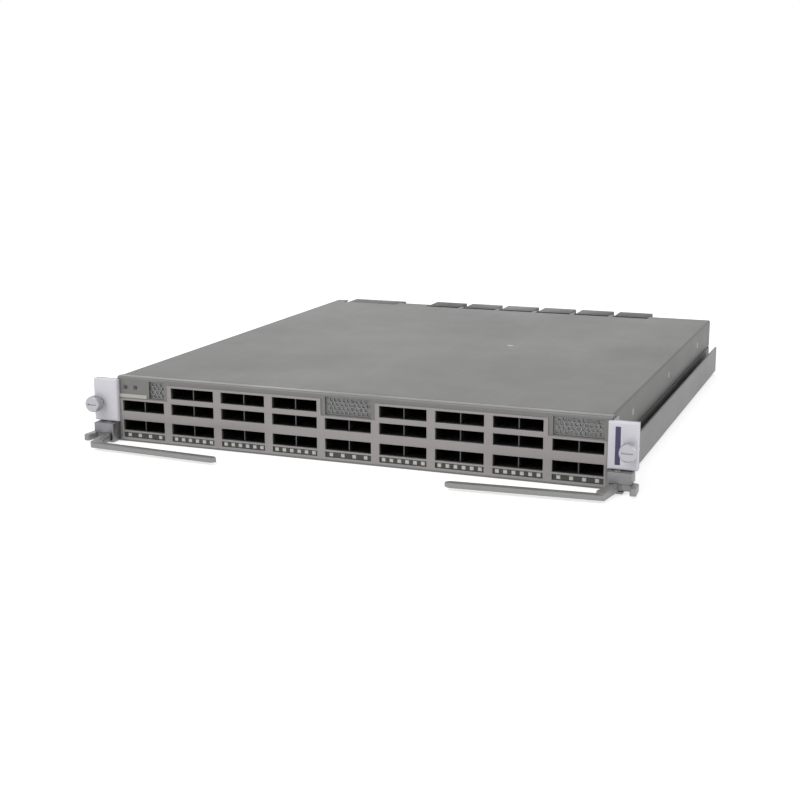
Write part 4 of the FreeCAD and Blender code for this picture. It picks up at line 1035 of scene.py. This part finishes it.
@dataclass
class Fasteners(Bench):
    """Cross-recess cover screws, clinched standoff ends, rail rivets and pin heads.

    Attributes:
        head_radius: radius of a cover screw's head, in millimetres.
        head_height: its thickness, in millimetres.
        shank_radius: radius of its shank, in millimetres.
        shank_length: length of its shank, in millimetres.
        recess: length of the cross recess from tip to tip, in millimetres.
        rivets: rivets along each rail.
        clinch_radius: radius of a standoff's clinched end.
        rivet_radius: radius of a rivet's head.
        web: from a rail's inner side to its web's face.
        rivet_height: height of the rivets as a share of the rail's height.
        pin_head: radius of a pivot pin's head.
        hub: height of a lever's hub.
        washer_radius: outer radius of a washer.
        washer_bore: inner radius of a washer.
        washer_gap: from the hub to a washer's middle.
    """

    head_radius: float = 2.7
    head_height: float = 1.2
    shank_radius: float = 1.5
    shank_length: float = 4.5
    recess: float = 3.0
    rivets: int = 7
    clinch_radius: float = 1.62 * MM
    rivet_radius: float = 2.4 * MM
    web: float = 1.5 * MM
    rivet_height: float = 0.62
    pin_head: float = 2.5 * MM
    hub: float = 5.2 * MM
    washer_radius: float = 3.3 * MM
    washer_bore: float = 1.68 * MM
    washer_gap: float = 0.2 * MM

    def build(self) -> None:
        """Make every fastener."""
        self._cover_screws()
        self._clinch_ends()
        for name, side in SIDES.items():
            self._rail_rivets(name, side)
        self._pin_heads()

    def _screw(self) -> Piece:
        """One cover screw, its head's face at the origin and looking up.

        Returns:
            The screw.
        """
        middle = mm(0.0, 0.0, -self.head_height / 2)
        screw = self.rod("screw", middle, self.head_radius * MM, self.head_height * MM, sides=32)
        with self.editing(screw, BELOW):
            self.inset(self.head_radius - self.shank_radius)
            self.push(z=0.5 - self.shank_length)
            self.push(z=-0.5, taper=0.75)
        for turn in (0.0, QUARTER):
            half = mm(self.recess / 2, 0.32, 0.9)
            arm = self.block("recess", -half, half)
            with self.editing(arm, BELOW):
                bpy.ops.transform.resize(value=(0.5, 0.8, 1.0))
            arm.data.transform(Matrix.Rotation(turn, 4, "Z"))
            self.cut(screw, arm)
        self.bevelled(screw, 0.12, angle=50.0)
        return screw

    def _cover_screws(self) -> None:
        """Put a screw in every hole of the cover."""
        screw = self._screw()
        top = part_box("top_cover")[1].z - 0.1 * MM
        pieces = []
        for low, high in solids_of("cover_screws"):
            middle = (low + high) / 2
            if high.z > top:
                move = Matrix.Translation((middle.x, middle.y, high.z))
            else:
                side = 1 if middle.x > 0 else -1
                face = high.x if side > 0 else low.x
                move = Matrix.Translation((face, middle.y, middle.z))
                move = move @ Matrix.Rotation(side * QUARTER, 4, "Y")
            pieces.append(self.copied(screw, "screw", move))
        bpy.data.objects.remove(screw)
        piece = self.joined("cross_recess_screws", pieces)
        self.dress(piece, "screw_steel")
        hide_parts("cover_screws")

    def _clinch_ends(self) -> None:
        """Dimpled end of every standoff, flush in the tray's underside."""
        end = self.rod("end", mm(0.0, 0.0, 0.75), self.clinch_radius, 1.3 * MM, sides=20)
        with self.editing(end, BELOW):
            self.inset(0.35)
            self.inset(0.5, -0.4)
        self.bevelled(end, 0.08)
        posts = solids_of("board_standoffs")
        places = [Vector(((low.x + high.x) / 2, (low.y + high.y) / 2, 0.0)) for low, high in posts]
        self.strewn("clinch_ends", "brass_plated", (end, places))

    def _rail_rivets(self, name: str, side: int) -> None:
        """Domed rivets that hold one rail to the tray.

        Args:
            name: the side.
            side: -1 for the left one, 1 for the right one.
        """
        low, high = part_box(f"{name}_side_rail")
        web = (low.x if side > 0 else high.x) + side * self.web
        rivet = self.rod("rivet", mm(side * 0.3, 0.0, 0.0), self.rivet_radius, 0.6 * MM, Way.ACROSS, 20)
        with self.editing(rivet, faces_towards(side, 0.0, 0.0)):
            self.inset(0.5, 0.35)
            self.inset(0.8, 0.2)
        self.bevelled(rivet, 0.1)
        span = (high.y - low.y) / self.rivets
        height = low.z + self.rivet_height * (high.z - low.z)
        places = [Vector((web, low.y + (index + 0.5) * span, height)) for index in range(self.rivets)]
        self.strewn(f"{name}_rail_rivets", "rail_steel", (rivet, places))

    def _pin_heads(self) -> None:
        """Riveted head on each pivot pin, and the washers above and below the lever's hub."""
        for (low, high), name in zip(solids_of("pivot_pins"), SIDES):
            centre = (low + high) / 2
            top = Vector((centre.x, centre.y, high.z + 0.22 * MM))
            head = self.rod("head", top, self.pin_head, 0.44 * MM)
            with self.editing(head, ABOVE):
                self.inset(0.7, 0.22)
            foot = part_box(f"{name}_ejector_lever")[0].z
            pieces = [head]
            for height in (foot - self.washer_gap, foot + self.hub + self.washer_gap):
                place = Vector((centre.x, centre.y, height))
                washer = self.rod("washer", place, self.washer_radius, 0.26 * MM)
                self.cut(washer, self.rod("bore", place, self.washer_bore, 2.0 * MM))
                pieces.append(washer)
            piece = self.joined(f"{name}_pivot_head", pieces)
            self.bevelled(piece, 0.06, angle=50.0)
            self.dress(piece, "screw_steel")


# ---------------------------------------------------------------- ears and levers


@dataclass
class EarFittings(Bench):
    """Rounded ear covers, brackets and levers, knurled knobs and the springs inside them.

    Attributes:
        roundings: part of a node's name after its side, to its rounding in millimetres.
        knurl_radius: radius of a knob's sleeve between its ribs.
        knurl_height: how far a rib stands proud.
        ribs: ribs round a knob.
        sleeve_length: length of the sleeve.
        sleeve_middle: from the knob's face to the sleeve's middle.
        sleeve_wall: thickness of the sleeve.
        knob_floor: from the knob's face to the floor of its bore.
        coil_radius: middle radius of the spring.
        wire: radius of its wire.
        turns: turns of the spring.
        coil_steps: steps of one turn.
        travel: how far the knob can be pressed; not used.
    """

    roundings: tuple[tuple[str, float], ...] = (
        ("ear_cover", 0.45), ("ear_bracket", 0.35), ("ejector_lever", 0.5),
    )
    knurl_radius: float = 6.25 * MM
    knurl_height: float = 0.22 * MM
    ribs: int = 28
    sleeve_length: float = 5.2 * MM
    sleeve_middle: float = 3.9 * MM
    sleeve_wall: float = 0.35 * MM
    knob_floor: float = 2.1 * MM
    coil_radius: float = 3.0 * MM
    wire: float = 0.34 * MM
    turns: int = 5
    coil_steps: int = 18
    travel: float = 3.5 * MM

    def build(self) -> None:
        """Make the fittings of both ears."""
        for name in SIDES:
            for node, width in self.roundings:
                self.round_off(f"{name}_{node}", width)
            low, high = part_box(f"{name}_thumbscrew")
            face = Vector(((low.x + high.x) / 2, low.y, (low.z + high.z) / 2))
            self._knurl(name, face)
            self._spring(name, face)

    def _knurl(self, name: str, face: Vector) -> None:
        """Ribbed sleeve round one knob.

        Args:
            name: the side.
            face: middle of the knob's face.
        """
        middle = face + Vector((0.0, self.sleeve_middle, 0.0))
        sides = 2 * self.ribs
        sleeve = self.rod(f"{name}_knob_sleeve", middle, self.knurl_radius, self.sleeve_length, Way.DEEP,
                           sides)

        def every_second(centre: Vector, normal: Vector) -> bool:
            """Picks every second side of the sleeve."""
            turn = math.atan2(normal.z, normal.x) / (2 * math.pi) * sides
            return abs(normal.y) < 0.5 and int(math.floor(turn)) % 2 == 0

        with self.editing(sleeve, every_second):
            bpy.ops.mesh.extrude_region_shrink_fatten(TRANSFORM_OT_shrink_fatten={"value": self.knurl_height})
            bpy.ops.transform.resize(value=(1.0, 0.9, 1.0))
        bore = self.rod("bore", middle, self.knurl_radius - self.sleeve_wall, 8.0 * MM, Way.DEEP, 48)
        self.cut(sleeve, bore)
        self.dress(sleeve, "knob_metal", f"{name}_screw", 25.0)

    def _spring(self, name: str, face: Vector) -> None:
        """Coil spring between the ferrule and the floor of one knob's bore.

        Args:
            name: the side.
            face: middle of the knob's face.
        """
        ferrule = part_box("screw_ferrules")[0].y
        floor = face.y + self.knob_floor
        room = ferrule - floor
        bpy.ops.object.select_all(action="DESELECT")
        bpy.ops.mesh.primitive_circle_add(vertices=8, radius=self.wire, location=(self.coil_radius, 0.0, 0.0))
        spring = self.started(f"{name}_knob_spring")
        coil = spring.modifiers.new("coil", "SCREW")
        coil.axis = "Y"
        coil.iterations = self.turns
        coil.steps = self.coil_steps
        coil.screw_offset = (room - 2 * self.wire) / self.turns
        self.apply(spring, coil)
        with self.editing(spring, lambda centre, normal: True):
            bpy.ops.mesh.select_all(action="SELECT")
            bpy.ops.mesh.fill_holes(sides=0)
            bpy.ops.mesh.select_all(action="SELECT")
            bpy.ops.mesh.normals_make_consistent(inside=False)
        low = min(vert.co.y for vert in spring.data.vertices)
        spring.data.transform(Matrix.Translation((face.x, floor - low, face.z)))
        self.dress(spring, "screw_steel", smooth=60.0)
        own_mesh(spring)


# ---------------------------------------------------------------- rear connectors and board


@dataclass
class RearContacts(Bench):
    """Contact wafers in the signal connectors and blades in the power connector.

    Attributes:
        signal_slots: slots in a signal connector.
        signal_depth: depth of its slots.
        signal_margin: height left free under and over the contacts.
        wafer_margin: height left free under and over a wafer, in millimetres.
        pairs: contacts up one wafer.
        power_slots: slots in the power connector.
        power_depth: depth of its slots.
        power_rise: from the connector's middle to the middle of a blade.
        housing_edge: rounding of a connector's housing, in millimetres.
    """

    signal_slots: int = 8
    signal_depth: float = 9.0 * MM
    signal_margin: float = 3.0 * MM
    wafer_margin: float = 3.4
    pairs: int = 14
    power_slots: int = 6
    power_depth: float = 14.4 * MM
    power_rise: float = 8.0 * MM
    housing_edge: float = 0.3

    def build(self) -> None:
        """Make every contact."""
        for index in range(1, SIGNAL_CONNECTORS + 1):
            self._signal(index)
            self.round_off(f"signal_connector_{index}", self.housing_edge)
        self._power()
        self.round_off("power_connector", self.housing_edge)
        self.round_off("guide_sockets", 2 * self.housing_edge)

    @staticmethod
    def _roots(node: str, slots: int, depth: float, height: float) -> list[Vector]:
        """Points on the floors of a connector's slots.

        Args:
            node: name of the connector.
            slots: how many slots it has.
            depth: their depth.
            height: height of the points, as a share of the connector's.

        Returns:
            The points, from left to right.
        """
        low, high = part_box(node)
        pitch = (high.x - low.x) / slots
        level = low.z + height * (high.z - low.z)
        return [Vector((low.x + (slot + 0.5) * pitch, high.y - depth, level)) for slot in range(slots)]

    def _signal(self, index: int) -> None:
        """Wafers with a column of contacts in each slot of one connector.

        Args:
            index: the connector, from 1.
        """
        node = f"signal_connector_{index}"
        low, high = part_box(node)
        rise = (high.z - low.z - 2 * self.signal_margin) / self.pairs
        tall = high.z / MM - low.z / MM - self.wafer_margin
        wafer = self.block("wafer", mm(-0.3, -0.4, self.wafer_margin), mm(0.3, 6.6, tall))
        with self.editing(wafer, BEHIND):
            self.push(y=0.6)
            bpy.ops.transform.resize(value=(0.4, 1.0, 0.99))
        contact = self.block("contact", mm(0.25, -0.2, -0.45), mm(0.42, 5.2, 0.45))
        with self.editing(contact, BEHIND):
            self.push(x=0.16, y=0.5, taper=0.7)
            self.push(x=-0.14, y=0.5, taper=0.7)
        roots = self._roots(node, self.signal_slots, self.signal_depth, 0.0)
        tips = [
            root + Vector((0.0, 0.0, self.signal_margin + (step + 0.5) * rise))
            for root in roots for step in range(self.pairs)
        ]
        self.strewn(f"signal_wafers_{index}", "connector_plastic", (wafer, roots))
        self.strewn(f"signal_contacts_{index}", "brass_plated", (contact, tips))

    def _power(self) -> None:
        """Two forked blades in each slot of the power connector."""
        blade = self.block("blade", mm(-1.7, -0.3, -6.4), mm(-0.9, 10.0, 6.4))
        with self.editing(blade, BEHIND):
            self.push(x=0.5, y=1.2, taper=0.92)
            self.push(x=-0.4, y=1.4, taper=0.92)
        self.bevelled(blade, 0.12, 1)
        places = [
            root + Vector((0.0, 0.0, step * self.power_rise))
            for root in self._roots("power_connector", self.power_slots, self.power_depth, 0.5)
            for step in (-1, 1)
        ]
        self.paired("power_blades", "brass_plated", blade, places, 0.0)


@dataclass
class BoardParts(Bench):
    """Small parts on the main board, seen through the vents and from the rear.

    Attributes:
        can_radius: radius of a can capacitor, in millimetres.
        can_height: its height, in millimetres.
        can_row: how far the cans stand in front of the tray's rear edge.
        can_reach: from the card's middle to the last can, in millimetres.
        can_pitch: from one can to the next, in millimetres.
        chip_half: half the side of a retimer chip, in millimetres.
        chip_row: how far the chips stand behind the port cages.
        leads: leads along one side of a chip.
        choke_row: how far the chokes stand in front of the converters.
        choke_pair: places of the two chokes at the left end, in millimetres.
        choke_reach: from the card's middle to the last of the others, in millimetres.
        choke_pitch: from one of these to the next, in millimetres.
    """

    can_radius: float = 4.0
    can_height: float = 9.0
    can_row: float = 57.0 * MM
    can_reach: int = 165
    can_pitch: int = 15
    chip_half: float = 6.0
    chip_row: float = 16.0 * MM
    leads: int = 8
    choke_row: float = 10.0 * MM
    choke_pair: tuple[int, int] = (-168, -154)
    choke_reach: int = 112
    choke_pitch: int = 16

    @staticmethod
    def _row(reach: int, pitch: int) -> list[int]:
        """Places across the card in millimetres, with the middle left free."""
        return [x for x in range(-reach, reach + 1, pitch) if x]

    def build(self) -> None:
        """Make every small part."""
        self._cans()
        self._retimers()
        self._chokes()

    def _cans(self) -> None:
        """Can capacitors with a scored top and a moulded base, behind the converters."""
        radius, height = self.can_radius, self.can_height
        base = self.block("base", mm(-radius, -radius, 0.0), mm(radius, radius, 1.0))
        self.bevelled(base, 0.8, 1)
        can = self.rod("can", mm(0.0, 0.0, 0.9 + height / 2), radius * 0.95 * MM, height * MM, sides=32)
        with self.editing(can, ABOVE):
            self.inset(0.5)
            self.inset(0.1, -0.12)
        self.bevelled(can, 0.3, 3, 60.0)
        for turn in (0.0, QUARTER):
            score = self.block("score", mm(-2.2, -0.1, 0.0), mm(2.2, 0.1, 1.0))
            lift = Matrix.Translation((0.0, 0.0, (0.65 + height) * MM))
            score.data.transform(lift @ Matrix.Rotation(turn, 4, "Z"))
            self.cut(can, score)
        across = self._row(self.can_reach, self.can_pitch)
        places = [Vector((x * MM, REAR - self.can_row, BOARD)) for x in across]
        self.strewn("capacitor_cans", "sink_aluminium", (can, places))
        self.strewn("capacitor_bases", "black_plastic", (base, places))

    def _retimers(self) -> None:
        """One leaded chip behind every port column."""
        half = self.chip_half
        chip = self.block("chip", mm(-half, -half, 0.2), mm(half, half, 1.0))
        with self.editing(chip, ABOVE):
            self.push(z=0.8, taper=0.97)
        self.cut(chip, self.rod("dimple", mm(-half * 0.7, -half * 0.7, 1.8), 0.6 * MM, 0.3 * MM, sides=16))
        lead = self.block("lead", mm(-0.22, half - 0.1, 0.9), mm(0.22, half + 0.6, 1.1))
        with self.editing(lead, BEHIND):
            self.push(y=0.25, z=-0.9)
            self.push(y=0.6)
        row = [mm(step, 0.0, 0.0) for step in spread(self.leads, 2 * half / (self.leads + 1))]
        side = self.scattered("leads", (lead, row))
        ring = [self.copied(side, "leads", Matrix.Rotation(turn * QUARTER, 4, "Z")) for turn in range(4)]
        bpy.data.objects.remove(side)
        all_leads = self.joined("leads", ring)
        places = []
        for column in range(COLUMNS):
            low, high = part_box(f"lower_cage_{column + 1}")
            places.append(Vector(((low.x + high.x) / 2, high.y + self.chip_row, BOARD)))
        self.strewn("retimer_chips", "chip_package", (chip, places))
        self.strewn("retimer_leads", "screw_steel", (all_leads, places))

    def _chokes(self) -> None:
        """Moulded chokes in front of the power converters."""
        choke = self.block("choke", mm(-5.5, -5.5, 0.0), mm(5.5, 5.5, 3.6))
        with self.editing(choke, ABOVE):
            self.inset(0.8, 1.2)
        self.bevelled(choke, 0.35)
        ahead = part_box("power_converters")[0].y - self.choke_row
        across = [*self.choke_pair, *self._row(self.choke_reach, self.choke_pitch)]
        self.strewn("chokes", "converter_case", (choke, [Vector((x * MM, ahead, BOARD)) for x in across]))


# ---------------------------------------------------------------- card


def dress_cad_nodes(shop: FinishShop) -> None:
    """Give every CAD node the finish of its slot.

    Args:
        shop: where the materials come from.
    """
    for part in frame["record"]["subparts"]:
        node = frame["nodes"][part["node"]]
        node.data.materials.clear()
        node.data.materials.append(shop.material(part["material_slot"]))
    log.info("finished %d CAD nodes", len(frame["nodes"]))


def main() -> None:
    """Build the whole scene."""
    shop = FinishShop(EffectGroups())
    Studio().build()
    dress_cad_nodes(shop)
    for fittings in (PortFittings, Fasteners, EarFittings, RearContacts, BoardParts):
        fittings(shop).build()


if __name__ == "__main__":
    main()
